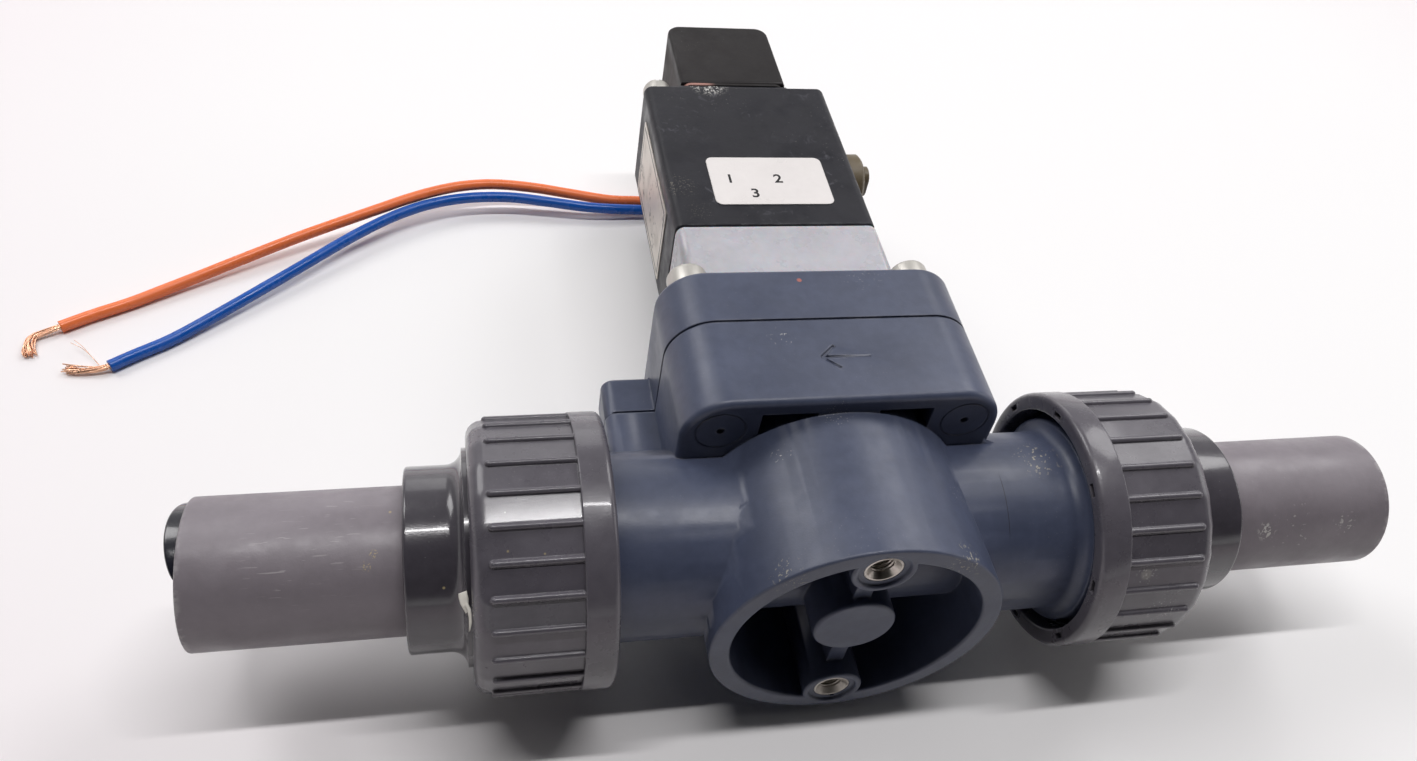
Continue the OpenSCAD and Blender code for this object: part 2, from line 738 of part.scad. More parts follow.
module diaphragm() color("#26282b") placed() along_y() rotate_extrude() polygon([
    [stud_r + run_gap, disc_y0], [disc_r - 1, disc_y0], [disc_r, disc_y0 + 0.6],
    [chamber_r - 1, split_y - 1.2], [chamber_r - 0.5, split_y + 0.01], [rim_r, split_y + 0.01],
    [rim_r, split_y + rim_t], [cover_chamber_r + 0.3, split_y + rim_t],
    [cover_chamber_r - 1.2, split_y + web_t - 1], [disc_r - 0.6, disc_y1], [stud_r + run_gap, disc_y1]]);

module diaphragm_plate() color("#8d9094") placed() difference() {
    union() {
        y_rod(0, 0, plate_y0, plate_y1, plate_d / 2);
        y_rod(0, 0, plate_y0, stem_top, stem_r);
    }
    y_rod(0, 0, plate_y0 - cut, stud_top + 0.3, stud_r + run_gap);
}

module diaphragm_retainer() color("#a4a8ab") placed() {
    y_rod(0, 0, retainer_y - retainer_t, retainer_y, retainer_d / 2);
    y_rod(0, 0, retainer_y - 1, stud_top, stud_r);
}

module main_spring() color("#b8bcc0") placed()
    coil_spring(0, 0, plate_y1 + 0.05, chamber_top - 0.05, spring_coil_r, spring_wire, spring_turns);

// Bonnet cover

module cover_channels() {
    y_rod(-channel_x, 0, split_y - cut, channel_y, channel_r);
    x_rod(channel_y, 0, -channel_x, -channel_turn_x, channel_r);
    hull() for (p = [[-channel_turn_x, channel_y], [-channel_out_x, cover_y + cut]])
        translate([p.x, p.y, 0]) sphere(channel_r, $fn = 16);
    y_rod(channel_out_x / 2, pilot_z, chamber_top - cut, cover_y + cut, channel_r);
}

module bonnet_cover() color("#3b4757") placed() difference() {
    union() {
        y_slab(bonnet_w, bonnet_w, bonnet_r, split_y, cover_y);
        ear(split_y, split_y + ear_h);
    }
    difference() {
        y_slab(2 * ear_x + 2, bonnet_w + 2, bonnet_r, split_y - cut, split_y + split_groove);
        y_slab(bonnet_w - 2 * split_groove, bonnet_w - 2 * split_groove, bonnet_r - split_groove,
            split_y - 2 * cut, split_y + cut);
        block(-ear_x + split_groove, -bonnet_half + skirt_wall, split_y - 2 * cut, split_y + cut,
            split_groove - ear_t / 2, ear_t / 2 - split_groove);
    }
    y_rod(0, 0, split_y - cut, split_y + rim_t + 0.02, rim_r + 0.1);
    difference() {
        y_rod(0, 0, split_y, chamber_top, cover_chamber_r);
        y_rod(0, 0, guide_y, chamber_top + cut, guide_r);
    }
    y_rod(0, 0, split_y, stem_top + lift + 0.5, stem_r + run_gap);
    at_corners() y_rod(0, 0, split_y - cut, cover_y + cut, screw_d / 2 + screw_gap);
    at_coil_screws() y_rod(0, 0, coil_screw_tip - 0.5, cover_y + cut, coil_screw_d / 2 + screw_gap);
    cover_channels();
}

module bonnet_screws() color("#b7b7b2") placed() at_corners() difference() {
    union() {
        y_rod(0, 0, cover_y + washer_t, cover_y + washer_t + screw_head_h, screw_head_d / 2);
        y_rod(0, 0, split_y - screw_grip, cover_y + washer_t + 1, screw_d / 2);
    }
    translate([0, cover_y + washer_t + screw_head_h / 2, 0]) along_y()
        cylinder(h = screw_head_h, d = screw_hex / cos(30), $fn = 6);
}

module bonnet_washers() color("#c6c6c2") placed() at_corners() difference() {
    y_rod(0, 0, cover_y, cover_y + washer_t, washer_d / 2);
    y_rod(0, 0, cover_y - cut, cover_y + washer_t + cut, screw_d / 2 + screw_gap);
}

module channel_seal() color("#1c1d1f") placed()
    translate([-channel_x, split_y - channel_seal_d / 2 - 0.02, 0]) along_y() rotate_extrude()
        translate([channel_r + channel_seal_d / 2 + 0.2, 0]) circle(channel_seal_d / 2 - 0.03, $fn = 24);

// Pilot body and rocker

module pilot_ports(y0, y1) {
    y_rod(-channel_out_x, 0, y0, y1, channel_r);
    y_rod(channel_out_x / 2, pilot_z, y0, y1, channel_r);
    at_coil_screws() y_rod(0, 0, y0, y1, coil_screw_d / 2 + screw_gap);
}

module head_reliefs(y1) for (i = [-1, 1]) y_rod(i * screw_p, screw_p, cover_y - cut, y1, head_relief);

module pilot_gasket() color("#2a2a2c") placed() difference() {
    y_slab(block_w - 2, block_d - 2, block_r, cover_y, gasket_y, pilot_z);
    pilot_ports(cover_y - cut, gasket_y + cut);
    head_reliefs(gasket_y + cut);
}

module pilot_body() color("#d9dde2", 0.8) placed() difference() {
    y_slab(block_w, block_d, block_r, gasket_y, block_y, pilot_z);
    block(rocker_x - rocker_tail - 2, rocker_end + 3, pocket_y, block_y + cut,
        pilot_z - pocket_w / 2, pilot_z + pocket_w / 2);
    y_rod(rocker_x, pilot_z, pocket_y - membrane_t, pocket_y + cut, membrane_r);
    z_rod(rocker_x, rocker_mid_y, pilot_z - pocket_w, pilot_z + pocket_w, pin_d / 2 + run_gap);
    y_rod(seat_x, pilot_z, gasket_y - cut, pocket_y - membrane_t - 0.5, pilot_seat_d / 2 + 0.02);
    y_rod(-channel_out_x, 0, gasket_y - cut, gasket_y + 4, channel_r);
    y_rod(channel_out_x / 2, pilot_z, gasket_y - cut, gasket_y + 4, channel_r);
    at_coil_screws() y_rod(0, 0, gasket_y - cut, block_y + cut, coil_screw_d / 2 + screw_gap);
    head_reliefs(cover_y + washer_t + screw_head_h + 1);
}

module pilot_diaphragm() color("#2b2d30") placed()
    y_rod(rocker_x, pilot_z, pocket_y - membrane_t + 0.02, pocket_y + 0.4, membrane_r - 0.05);

module pilot_seats() color("#c9c9c4") placed() difference() {
    y_rod(seat_x, pilot_z, gasket_y + 0.5, gasket_y + 0.5 + pilot_seat_h, pilot_seat_d / 2);
    y_rod(seat_x, pilot_z, gasket_y, gasket_y + 2 + pilot_seat_h, pilot_seat_d / 4);
}

module rocker() color("#9da1a5") placed() difference() {
    union() {
        block(rocker_x - rocker_tail, rocker_end, rocker_mid_y - rocker_t / 2, rocker_mid_y + rocker_t / 2,
            pilot_z - rocker_w / 2, pilot_z + rocker_w / 2);
        z_rod(rocker_x, rocker_mid_y, pilot_z - rocker_w / 2, pilot_z + rocker_w / 2, pin_d / 2 + 1.2);
        y_rod(rocker_x, pilot_z, pocket_y + 0.8, rocker_mid_y, 2);
    }
    z_rod(rocker_x, rocker_mid_y, pilot_z - rocker_w, pilot_z + rocker_w, pin_d / 2 + run_gap);
}

module rocker_pin() color("#c3c6c9") placed()
    z_rod(rocker_x, rocker_mid_y, pilot_z - pocket_w + 0.5, pilot_z + pocket_w - 0.5, pin_d / 2);

// Coil block

module coil_housing() color("#1e2025") placed() difference() {
    y_slab(block_w, block_d, block_r, coil_y, coil_end, pilot_z);
    block(-cavity_half, cavity_half, coil_y - cut, cavity_top, block_back + 2.4, block_front - 2.4);
    at_coil_screws() y_rod(0, 0, coil_y - cut, coil_end + cut, coil_screw_d / 2 + screw_gap);
    x_rod(lever_y, lever_z, cavity_half - cut, block_half + cut, shaft_r + run_gap);
    y_rod(0, pilot_z, plug_screw_tip - 1, coil_end + cut, plug_screw_d / 2 + screw_gap);
    translate([lever_seal_x, lever_y, lever_z]) along_x()
        cylinder(h = override_seal_d + 0.2, r = shaft_r + override_seal_d + 0.1);
}

module coil_yoke() color("#8b8e92") placed() difference() {
    block(-yoke_half, yoke_half, yoke_y0, yoke_y1, pilot_z - yoke_w / 2, pilot_z + yoke_w / 2);
    block(yoke_t - yoke_half, yoke_half - yoke_t, yoke_y0 + yoke_t, yoke_y1 - yoke_t,
        pilot_z - yoke_w, pilot_z + yoke_w);
    y_rod(0, pilot_z, yoke_y0 - cut, yoke_y0 + yoke_t + cut, nose_hole_r);
    y_rod(0, pilot_z, yoke_y1 - yoke_t - cut, yoke_y1 + cut, armature_r + 0.02);
}

module coil_bobbin() color("#d8d4c6") placed() difference() {
    union() {
        y_rod(0, pilot_z, bobbin_y0, bobbin_y1, tube_out);
        y_rod(0, pilot_z, bobbin_y0, bobbin_y0 + bobbin_flange, bobbin_r);
        y_rod(0, pilot_z, bobbin_y1 - bobbin_flange, bobbin_y1, bobbin_r);
    }
    y_rod(0, pilot_z, bobbin_y0 - cut, bobbin_y1 + cut, tube_in);
}

module coil_winding() color("#a5562b") placed() difference() {
    y_rod(0, pilot_z, bobbin_y0 + bobbin_flange + 0.05, bobbin_y1 - bobbin_flange - 0.05, winding_out);
    y_rod(0, pilot_z, bobbin_y0, bobbin_y1, winding_in);
}

module coil_core() color("#9a9da1") placed() y_rod(0, pilot_z, core_y, yoke_y1, armature_r);

module armature() color("#a6a9ad") placed() difference() {
    union() {
        y_rod(0, pilot_z, armature_y0, armature_y1, armature_r);
        y_rod(0, pilot_z, nose_y, armature_y0 + 1, nose_d / 2);
    }
    y_rod(0, pilot_z, armature_y1 - arm_spring_depth, armature_y1 + cut, arm_spring_hole);
}

module armature_spring() color("#c0c3c6") placed()
    coil_spring(0, pilot_z, armature_y1 - arm_spring_depth + 0.05, core_y - 0.05, arm_spring_r,
        arm_spring_wire, arm_spring_turns);

module coil_screws() color("#b7b5ae") placed() at_coil_screws() difference() {
    union() {
        y_rod(0, 0, coil_end, coil_head_y - 0.8, coil_head_d / 2);
        translate([0, coil_head_y - 0.8, 0]) along_y()
            cylinder(h = 0.8, r1 = coil_head_d / 2, r2 = coil_head_d / 2 - 0.8);
        y_rod(0, 0, coil_screw_tip, coil_end + 1, coil_screw_d / 2);
    }
    block(-0.6, 0.6, coil_head_y - 1.6, coil_head_y + cut, -coil_head_d, coil_head_d);
}

module override_lever() color("#6e6248") placed() {
    x_rod(lever_y, lever_z, cavity_half + 0.3, hub_x0 + 1, shaft_r);
    x_rod(lever_y, lever_z, hub_x0, hub_x1 - hub_chamfer, hub_d / 2);
    translate([hub_x1 - hub_chamfer, lever_y, lever_z]) along_x()
        cylinder(h = hub_chamfer, r1 = hub_d / 2, r2 = hub_d / 2 - hub_chamfer);
    translate([hub_x1 - 0.5, lever_y, lever_z]) along_x() linear_extrude(grip_h + 0.5)
        rounded_rect(grip_len, grip_w, grip_w / 2 - 0.2);
}

module override_seal() color("#161719") placed()
    translate([lever_seal_x + override_seal_d / 2 + 0.1, lever_y, lever_z]) along_x() rotate_extrude()
        translate([shaft_r + override_seal_d / 2 + 0.04, 0]) circle(override_seal_d / 2 - 0.02, $fn = 24);

module front_label() color("#e9e6e4") placed() translate([1.3, coil_y + label_y, block_front])
    linear_extrude(label_t) rounded_rect(label_w, label_h, 2);

module side_nameplate() color("#b9b6b0") placed()
    translate([-block_half, coil_y + coil_h / 2 + 1, pilot_z - 1]) rotate([0, -90, 0])
        linear_extrude(nameplate_t) rounded_rect(nameplate_w, nameplate_len, 1);

// Plug

module at_blades() {
    for (i = [-1, 1]) translate([i * blade_pitch / 2, 0, pilot_z]) rotate([0, 90, 0]) children();
    translate([0, 0, pilot_z - blade_z]) children();
}

module blade_bar(y0, y1, gap)
    block(-blade_w / 2 - gap, blade_w / 2 + gap, y0, y1, -blade_t / 2 - gap, blade_t / 2 + gap);

module terminal_plate() color("#17181a") placed() difference() {
    y_slab(terminal_w, plug_d - 1, 2, coil_end, terminal_y, pilot_z);
    at_blades() blade_bar(coil_end - cut, terminal_y + cut, slot_gap);
    y_rod(0, pilot_z, coil_end - cut, terminal_y + cut, plug_screw_d / 2 + screw_gap);
}

module terminal_blades() color("#c9b98a") placed() at_blades() blade_bar(coil_end, blade_top, 0);

module plug_gasket() color("#b5605a") placed() difference() {
    y_slab(plug_w - 0.4, plug_d - 0.6, plug_r - 1, terminal_y, plug_y, pilot_z);
    y_slab(plug_w - 2 * gasket_frame, plug_d - 2 * gasket_frame, 1, terminal_y - cut, plug_y + cut, pilot_z);
}

// The plug's outline seen from the front, with rounded far corners
module plug_outline() {
    translate([-plug_half, plug_y]) square([plug_w, plug_h - plug_r]);
    translate([plug_r - plug_half, plug_y]) square([plug_w - 2 * plug_r, plug_h]);
    for (i = [-1, 1]) translate([i * (plug_half - plug_r), plug_end - plug_r]) circle(plug_r);
}

module plug_housing() color("#1d1b19") placed() difference() {
    translate([0, 0, plug_back]) linear_extrude(plug_d) plug_outline();
    block(plug_wall - plug_half, plug_half - plug_wall, plug_y - cut, plug_cavity_top,
        plug_back + plug_wall, pilot_z + plug_d / 2 - plug_wall);
    y_rod(0, pilot_z, plug_cavity_top - cut, plug_end + cut, plug_screw_d / 2 + screw_gap);
    y_rod(0, pilot_z, plug_end - screw_recess, plug_end + cut, plug_head_d / 2 + 0.3);
    z_rod(0, gland_axis_y, plug_back - cut, gland_inner_z + cut, gland_hole_r);
}

module plug_screw() color("#b4b4b0") placed() difference() {
    union() {
        y_rod(0, pilot_z, plug_end - screw_recess, plug_end - 0.6, plug_head_d / 2);
        y_rod(0, pilot_z, plug_screw_tip, plug_end - screw_recess + 1, plug_screw_d / 2);
    }
    block(-0.4, 0.4, plug_end - 1.6, plug_end + cut, pilot_z - plug_head_d, pilot_z + plug_head_d);
}

module gland_nut() color("#1b1b1d") placed() difference() {
    union() {
        translate([0, gland_axis_y, gland_z0]) cylinder(h = gland_len, d = gland_hex / cos(30), $fn = 6);
        z_rod(0, gland_axis_y, gland_z1 - 1, gland_inner_z, gland_thread_r);
    }
    z_rod(0, gland_axis_y, gland_z0 - cut, gland_inner_z + cut, gland_bore / 2);
}

module gland_bush() color("#2c2c2e") placed() difference() {
    z_rod(0, gland_axis_y, bush_y0, gland_inner_z - 0.5, bush_r);
    for (k = [-1, 1])
        z_rod(0, gland_axis_y + k * wire_half_pitch, gland_z0, gland_inner_z + cut, wire_r + wire_gap);
}

module wire_orange() color("#d4562a") placed() swept_tube(smooth_route(orange_route, 2), wire_r, 8);

module wire_blue() color("#1d4a94") placed() swept_tube(smooth_route(blue_route, 2), wire_r, 8);

module orange_strands() color("#b9764a") placed()
    swept_tube(smooth_route(orange_strand_route, 2), strand_r, 8);

module blue_strands() color("#b9764a") placed()
    swept_tube(smooth_route(blue_strand_route, 2), strand_r, 8);

// Unions, drawn on the inlet side and mirrored for the outlet

module union_nut() difference() {
    union() {
        along_x() rotate_extrude() polygon(concat(
            [[nut_bore_r, nut_x0], [band_r - band_chamfer, nut_x0], [band_r, nut_x0 + band_chamfer],
             [band_r, nut_x0 + nut_band], [nut_r, nut_x0 + nut_band]],
            arc(nut_r - nut_round, nut_x1 - nut_round, nut_round, 0, 90),
            [[root_r + collar_gap, nut_x1], [root_r + collar_gap, lip_x], [nut_bore_r, lip_x]]));
        for (i = [0:rib_count - 1]) rotate([360 * i / rib_count, 0, 0])
            block(nut_x0 + nut_band - 1, nut_x1 - nut_round - rib_w / 2, -rib_w / 2, rib_w / 2,
                nut_r - 1, rib_r);
    }
    for (i = [0:notch_count - 1]) rotate([360 * (i + 0.5) / notch_count, 0, 0])
        block(nut_x0 - cut, nut_x0 + notch_depth, -notch_w / 2, notch_w / 2,
            nut_bore_r + notch_in, nut_bore_r + notch_in + notch_rise);
}

module union_tail() along_x() rotate_extrude() polygon(concat(
    [[bore_r, collar_x0], [collar_r, collar_x0], [collar_r, collar_x1], [root_r, collar_x1],
     [root_r, root_x1]],
    arc(root_r, root_x1 + tail_fillet, tail_fillet, 270, 180),
    [[tail_r, tail_x1 - union_chamfer], [tail_r - union_chamfer, tail_x1], [socket_r, tail_x1],
     [socket_r, pipe_x0 - glue_gap], [bore_r, pipe_x0 - glue_gap]]));

module pipe_stub() difference() {
    union() {
        x_rod(0, 0, pipe_x0, tail_x1 + cut, spigot_r);
        x_rod(0, 0, tail_x1 + glue_gap, pipe_x1, pipe_r);
    }
    x_rod(0, 0, pipe_x0 - cut, pipe_x1 + cut, pipe_r - pipe_wall);
}

module union_seal() x_ring(body_half - seal_d / 2 + 0.03, seal_ring_r, seal_d / 2 - 0.03);

module inlet_nut() color("#3a3d40") placed() union_nut();

module inlet_tail() color("#3d4042") placed() union_tail();

module inlet_pipe() color("#6c6e70") placed() pipe_stub();

module inlet_o_ring() color("#1a1b1c") placed() union_seal();

module outlet_nut() color("#3a3d40") placed() mirror([1, 0, 0]) union_nut();

module outlet_tail() color("#3d4042") placed() mirror([1, 0, 0]) union_tail();

module outlet_pipe() color("#6c6e70") placed() mirror([1, 0, 0]) pipe_stub();

module outlet_o_ring() color("#1a1b1c") placed() mirror([1, 0, 0]) union_seal();

valve_body();
foot_inserts();
diaphragm();
diaphragm_plate();
diaphragm_retainer();
main_spring();
bonnet_cover();
bonnet_screws();
bonnet_washers();
channel_seal();
pilot_gasket();
pilot_body();
pilot_diaphragm();
pilot_seats();
rocker();
rocker_pin();
coil_housing();
coil_bobbin();
coil_winding();
coil_yoke();
coil_core();
armature();
armature_spring();
coil_screws();
override_lever();
override_seal();
terminal_plate();
terminal_blades();
plug_gasket();
plug_housing();
plug_screw();
gland_nut();
gland_bush();
wire_orange();
wire_blue();
orange_strands();
blue_strands();
front_label();
side_nameplate();
inlet_nut();
inlet_tail();
inlet_pipe();
inlet_o_ring();
outlet_nut();
outlet_tail();
outlet_pipe();
outlet_o_ring();
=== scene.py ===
"""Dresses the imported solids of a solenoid-piloted diaphragm valve and lights it on a pale table."""
import math
import random

import bmesh
import bpy
from mathutils import Matrix, Vector


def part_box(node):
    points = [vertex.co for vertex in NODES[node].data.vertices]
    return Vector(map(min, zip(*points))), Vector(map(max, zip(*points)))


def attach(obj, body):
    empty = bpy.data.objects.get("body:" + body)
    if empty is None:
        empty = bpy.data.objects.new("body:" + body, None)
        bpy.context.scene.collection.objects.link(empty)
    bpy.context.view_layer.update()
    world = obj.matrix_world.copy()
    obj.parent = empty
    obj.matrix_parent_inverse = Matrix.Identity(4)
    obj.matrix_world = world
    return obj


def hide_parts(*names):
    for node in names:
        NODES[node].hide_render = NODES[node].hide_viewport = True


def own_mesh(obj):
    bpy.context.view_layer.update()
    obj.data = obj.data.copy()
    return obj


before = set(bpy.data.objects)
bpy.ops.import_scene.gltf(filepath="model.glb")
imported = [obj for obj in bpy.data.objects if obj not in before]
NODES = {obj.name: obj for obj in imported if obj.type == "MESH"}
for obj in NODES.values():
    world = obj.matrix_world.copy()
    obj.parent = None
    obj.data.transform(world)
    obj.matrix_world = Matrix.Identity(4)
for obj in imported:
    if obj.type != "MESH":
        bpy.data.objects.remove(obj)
SCENE = bpy.context.scene
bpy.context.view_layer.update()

# Sizes in millimetres, from the crossing of the flow axis and the stem axis
MM = 0.001
AXIS = Vector((0, -70.8, 36.7))
PIPE_R, PIPE_BORE_R, PIPE_START, PIPE_END = 16.0, 13.6, 76.5, 138.0
SPIGOT_R, SAW_SLANT = 15.4, 1.2
LIP_START, LIP_BORE_R, LIP_R = PIPE_END - 8, PIPE_BORE_R + 0.02, PIPE_R - 1.0
LIP_REACH, LIP_SETBACK, LIP_TURN, LIP_SHARE = 3.0, 0.8, math.radians(84), 0.3
TAIL_R, TAIL_END, ROOT_R, ROOT_END, TAIL_HOLLOW = 20.0, 94.5, 23.5, 82.4, 3.5
COLLAR_R, COLLAR_START, COLLAR_END, BORE_R = 25.6, 71.35, 75.55, 12.5
NUT_START, NUT_END, NUT_LIP, NUT_BAND_END = 52.4, 81.4, 75.9, 59.4
NUT_BORE_R, NUT_R, BAND_R, NUT_ROUND, NUT_PLAY, GLUE = 26.25, 29.35, 30.3, 3.5, 0.35, 0.05
RIB_COUNT, RIB_R, RIB_END = 26, 0.75, 77.9
NOTCH_COUNT, NOTCH_SIZE, NOTCH_OUT = 8, Vector((2.8, 3.0, 1.3)), 1.65
THREAD_R, THREAD_START, THREAD_LEN, THREAD_PITCH, THREAD_WIRE = 25.95, 57.6, 12.6, 3.0, 0.3
BONNET_HALF, BONNET_ROUND, FLANGE_FOOT, FLANGE_TOP, COVER_TOP = 36.7, 11.0, 9.0, 33.0, 49.5
EAR_TOP, EAR_SIDE = 44.0, -37.2
CUP_MOUTH, POST_END, POST_REACH = -27.0, -25.0, 9.5
SCREW_PITCH, SCREW_FOOT, SCREW_R, HEAD_H, HEAD_R, HEX_WIDTH, HEX_DEPTH = 56.0, 19.0, 3.0, 6.0, 5.0, 5.0, 3.0
WASHER_T, WASHER_BORE_R, WASHER_R = 1.2, 3.2, 5.7
COIL_SCREW_FOOT, COIL_SCREW_R, COIL_HEAD_H, COIL_HEAD_R, COIL_SLOT = 45.0, 2.0, 4.6, 4.0, 1.6
COIL_SCREW_PITCH, COIL_Z = (45.0, 25.0), 8.5
INSERT_Z, INSERT_MOUTH, INSERT_LEN, INSERT_BORE_R, INSERT_R, INSERT_RIM_R = 25.0, -26.2, 10.0, 2.5, 3.8, 4.2
INSERT_RIM_T, INSERT_TURNS, INSERT_THREAD_LEN, INSERT_WIRE = 1.2, 10.0, 8.4, 0.26
WINDING_TURNS, WINDING_BORE, WINDING_WIRE = 62.0, 7.12, 0.33
WIRE_R, GLAND_MOUTH, GLAND_Y, GLAND_RIM = 1.7, -19.0, 156.0, 7.0
SPLIT, STUD_R, DISC_R, DISC_T, WEB_R, RIM_R = 33.01, 2.55, 15.0, 2.4, 22.5, 30.5
LIFT, STROKE = 4.0, 1.0
BLOCK_SIDE, BLOCK_FRONT, BLOCK_BACK = 24.0, 22.9, -5.9
TAPE_T, FIGURE_H, FIGURE_T, FIGURE_BOLD, FIGURE_LIFT = 0.14, 4.9, 0.01, 0.09, 0.012
TOUCH = 0.05  # how near an edge lies to a place where edges are rounded


def at(x, y, z):
    """A place on the valve, as metres in the scene."""
    return (Vector((x, y, z)) + AXIS) * MM


def span(node):
    """A node's lowest and highest corners in the valve's own millimetres."""
    return [Vector(corner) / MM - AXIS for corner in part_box(node)]


COIL_LOW, COIL_HIGH = span("coil_housing")
COIL_FOOT, COIL_END = COIL_LOW.y, COIL_HIGH.y
PLUG_LOW, PLUG_HIGH = span("plug_housing")
PLUG_SIDE, PLUG_BACK, PLUG_FRONT = PLUG_LOW.x, PLUG_LOW.z, PLUG_HIGH.z
TERMINAL_FRONT = span("terminal_plate")[1].z
LABEL_LOW, LABEL_HIGH = span("front_label")
WINDING_LOW, WINDING_HIGH = span("coil_winding")
WINDING_FOOT, WINDING_END, WINDING_R = WINDING_LOW.y, WINDING_HIGH.y, WINDING_HIGH.x


def add_object(name, data):
    made = bpy.data.objects.new(name, data)
    SCENE.collection.objects.link(made)
    return made


# Camera
camera = add_object("camera", bpy.data.cameras.new("camera"))
camera.location = (-0.08263, -0.21294, 0.25451)
camera.rotation_euler = [math.radians(angle) for angle in (41.9917, -7.7517, -9.6789)]
camera.data.sensor_fit = "HORIZONTAL"
camera.data.sensor_width = 36
camera.data.lens = 29.5266
camera.data.clip_start = 0.01
SCENE.camera = camera
SCENE.view_settings.view_transform = "Standard"


class Value:
    """A node's output that takes part in arithmetic."""

    def __init__(self, graph, socket):
        self.graph = graph
        self.socket = socket

    def maths(self, operation, *terms):
        return self.graph.node("ShaderNodeMath", {"operation": operation}, dict(enumerate(terms)))

    def __add__(self, other):
        return self.maths("ADD", self, other)

    def __radd__(self, other):
        return self.maths("ADD", other, self)

    def __sub__(self, other):
        return self.maths("SUBTRACT", self, other)

    def __rsub__(self, other):
        return self.maths("SUBTRACT", other, self)

    def __mul__(self, other):
        return self.maths("MULTIPLY", self, other)

    def __rmul__(self, other):
        return self.maths("MULTIPLY", other, self)

    def __truediv__(self, other):
        return self.maths("DIVIDE", self, other)

    def __rtruediv__(self, other):
        return self.maths("DIVIDE", other, self)

    def __abs__(self):
        return self.maths("ABSOLUTE", self)


class Graph:
    """A node tree written one node at a time."""

    def __init__(self, tree):
        self.tree = tree

    def node(self, kind, settings=None, inputs=None, out=0):
        made = self.tree.nodes.new(kind)
        for name, value in (settings or {}).items():
            setattr(made, name, value)
        for name, value in (inputs or {}).items():
            self.feed(made.inputs[name], value)
        return Value(self, made.outputs[out])

    def feed(self, socket, value):
        if isinstance(value, Value):
            self.tree.links.new(value.socket, socket)
        else:
            socket.default_value = value

    def seen(self):
        """One for the rays that show the background: straight, mirrored or through a clear piece."""
        rays = self.node("ShaderNodeLightPath").socket.node.outputs
        straight, mirrored, through = (
            Value(self, rays[f"Is {kind} Ray"]) for kind in ("Camera", "Glossy", "Transmission"))
        return straight.maths("MAXIMUM", straight.maths("MAXIMUM", straight, mirrored), through)


class Finish(Graph):
    """A material on object coordinates, in metres."""

    def __init__(self, name):
        self.material = bpy.data.materials.new(name)
        self.material.use_nodes = True
        super().__init__(self.material.node_tree)
        self.shader = self.tree.nodes["Principled BSDF"]
        self.place = self.node("ShaderNodeTexCoord", out="Object")
        axes = self.node("ShaderNodeSeparateXYZ", None, {0: self.place}).socket.node.outputs
        self.x, self.y, self.z = (Value(self, axis) for axis in axes)

    def stretched(self, scale):
        """Object coordinates stretched along each axis."""
        return self.node("ShaderNodeMapping", None, {"Vector": self.place, "Scale": scale})

    def noise(self, scale, detail=3.0, rough=0.55, warp=0.0, where=None):
        return self.node("ShaderNodeTexNoise", None, {
            "Vector": where or self.place, "Scale": scale, "Detail": detail, "Roughness": rough,
            "Distortion": warp})

    def cells(self, scale):
        return self.node("ShaderNodeTexVoronoi", {"feature": "F1"}, {
            "Vector": self.place, "Scale": scale}, "Distance")

    def step(self, value, low, high, bottom=0.0, top=1.0):
        """A smooth rise from bottom to top while value goes from low to high."""
        return self.node("ShaderNodeMapRange", {"interpolation_type": "SMOOTHSTEP", "clamp": True}, {
            "Value": value, "From Min": low, "From Max": high, "To Min": bottom, "To Max": top})

    def near(self, point, inner, outer):
        """One within a distance of a point in the scene, fading to nothing at the outer one."""
        far = self.node("ShaderNodeVectorMath", {"operation": "DISTANCE"}, {0: self.place, 1: point}, "Value")
        return self.step(far, inner, outer, 1.0, 0.0)

    def mix(self, first, second, share):
        return self.node("ShaderNodeMix", {"data_type": "RGBA"}, {
            0: share, 6: self.colour(first), 7: self.colour(second)}, 2)

    def colour(self, value):
        return value if isinstance(value, Value) else (*value, 1)

    def edge(self, radius):
        """How far the surface turns within a radius: one on an edge, nothing on a flat."""
        flat = self.node("ShaderNodeNewGeometry", out="Normal")
        along = self.node("ShaderNodeVectorMath", {"operation": "DOT_PRODUCT"}, {
            0: self.soft_edges(radius), 1: flat}, "Value")
        return self.step(1 - along, 0.02, 0.2)

    def bump(self, height, distance, strength, normal):
        return self.node("ShaderNodeBump", None, {
            "Height": height, "Distance": distance, "Strength": strength, "Normal": normal})

    def soft_edges(self, radius):
        return self.node("ShaderNodeBevel", {"samples": 6}, {"Radius": radius})

    def done(self, **sockets):
        """Feeds the shader's sockets and gives back the material."""
        for name, value in sockets.items():
            socket = self.shader.inputs[name.replace("_", " ")]
            if socket.type == "RGBA":
                value = self.colour(value)
            self.feed(socket, value)
        return self.material


def spot(x, y, z, inner, outer):
    """A mark round one place on the valve."""
    return lambda f: f.near(at(x, y, z), inner * MM, outer * MM)


def flecks(x, y, z, reach, size=1300, share=0.6):
    """Loose specks near one place."""
    fade = spot(x, y, z, reach * 0.3, reach)
    return lambda f: f.step(f.noise(size, 2), share, share + 0.05) * fade(f)


def scratches(x, y, z, reach):
    """Fine lines along the flow axis near one place."""
    fade = spot(x, y, z, reach * 0.3, reach)
    return lambda f: f.step(f.noise(1500, 2, 0.5, 0.0, f.stretched((0.12, 1, 1))), 0.63, 0.69) * fade(f)


def mould_line(f):
    """The thin line round the inlet neck where two halves of the mould met."""
    return f.step(abs(f.x - 35.15 * MM), 0.16 * MM, 0.06 * MM) * spot(35.1, -9, 20, 5, 9)(f)


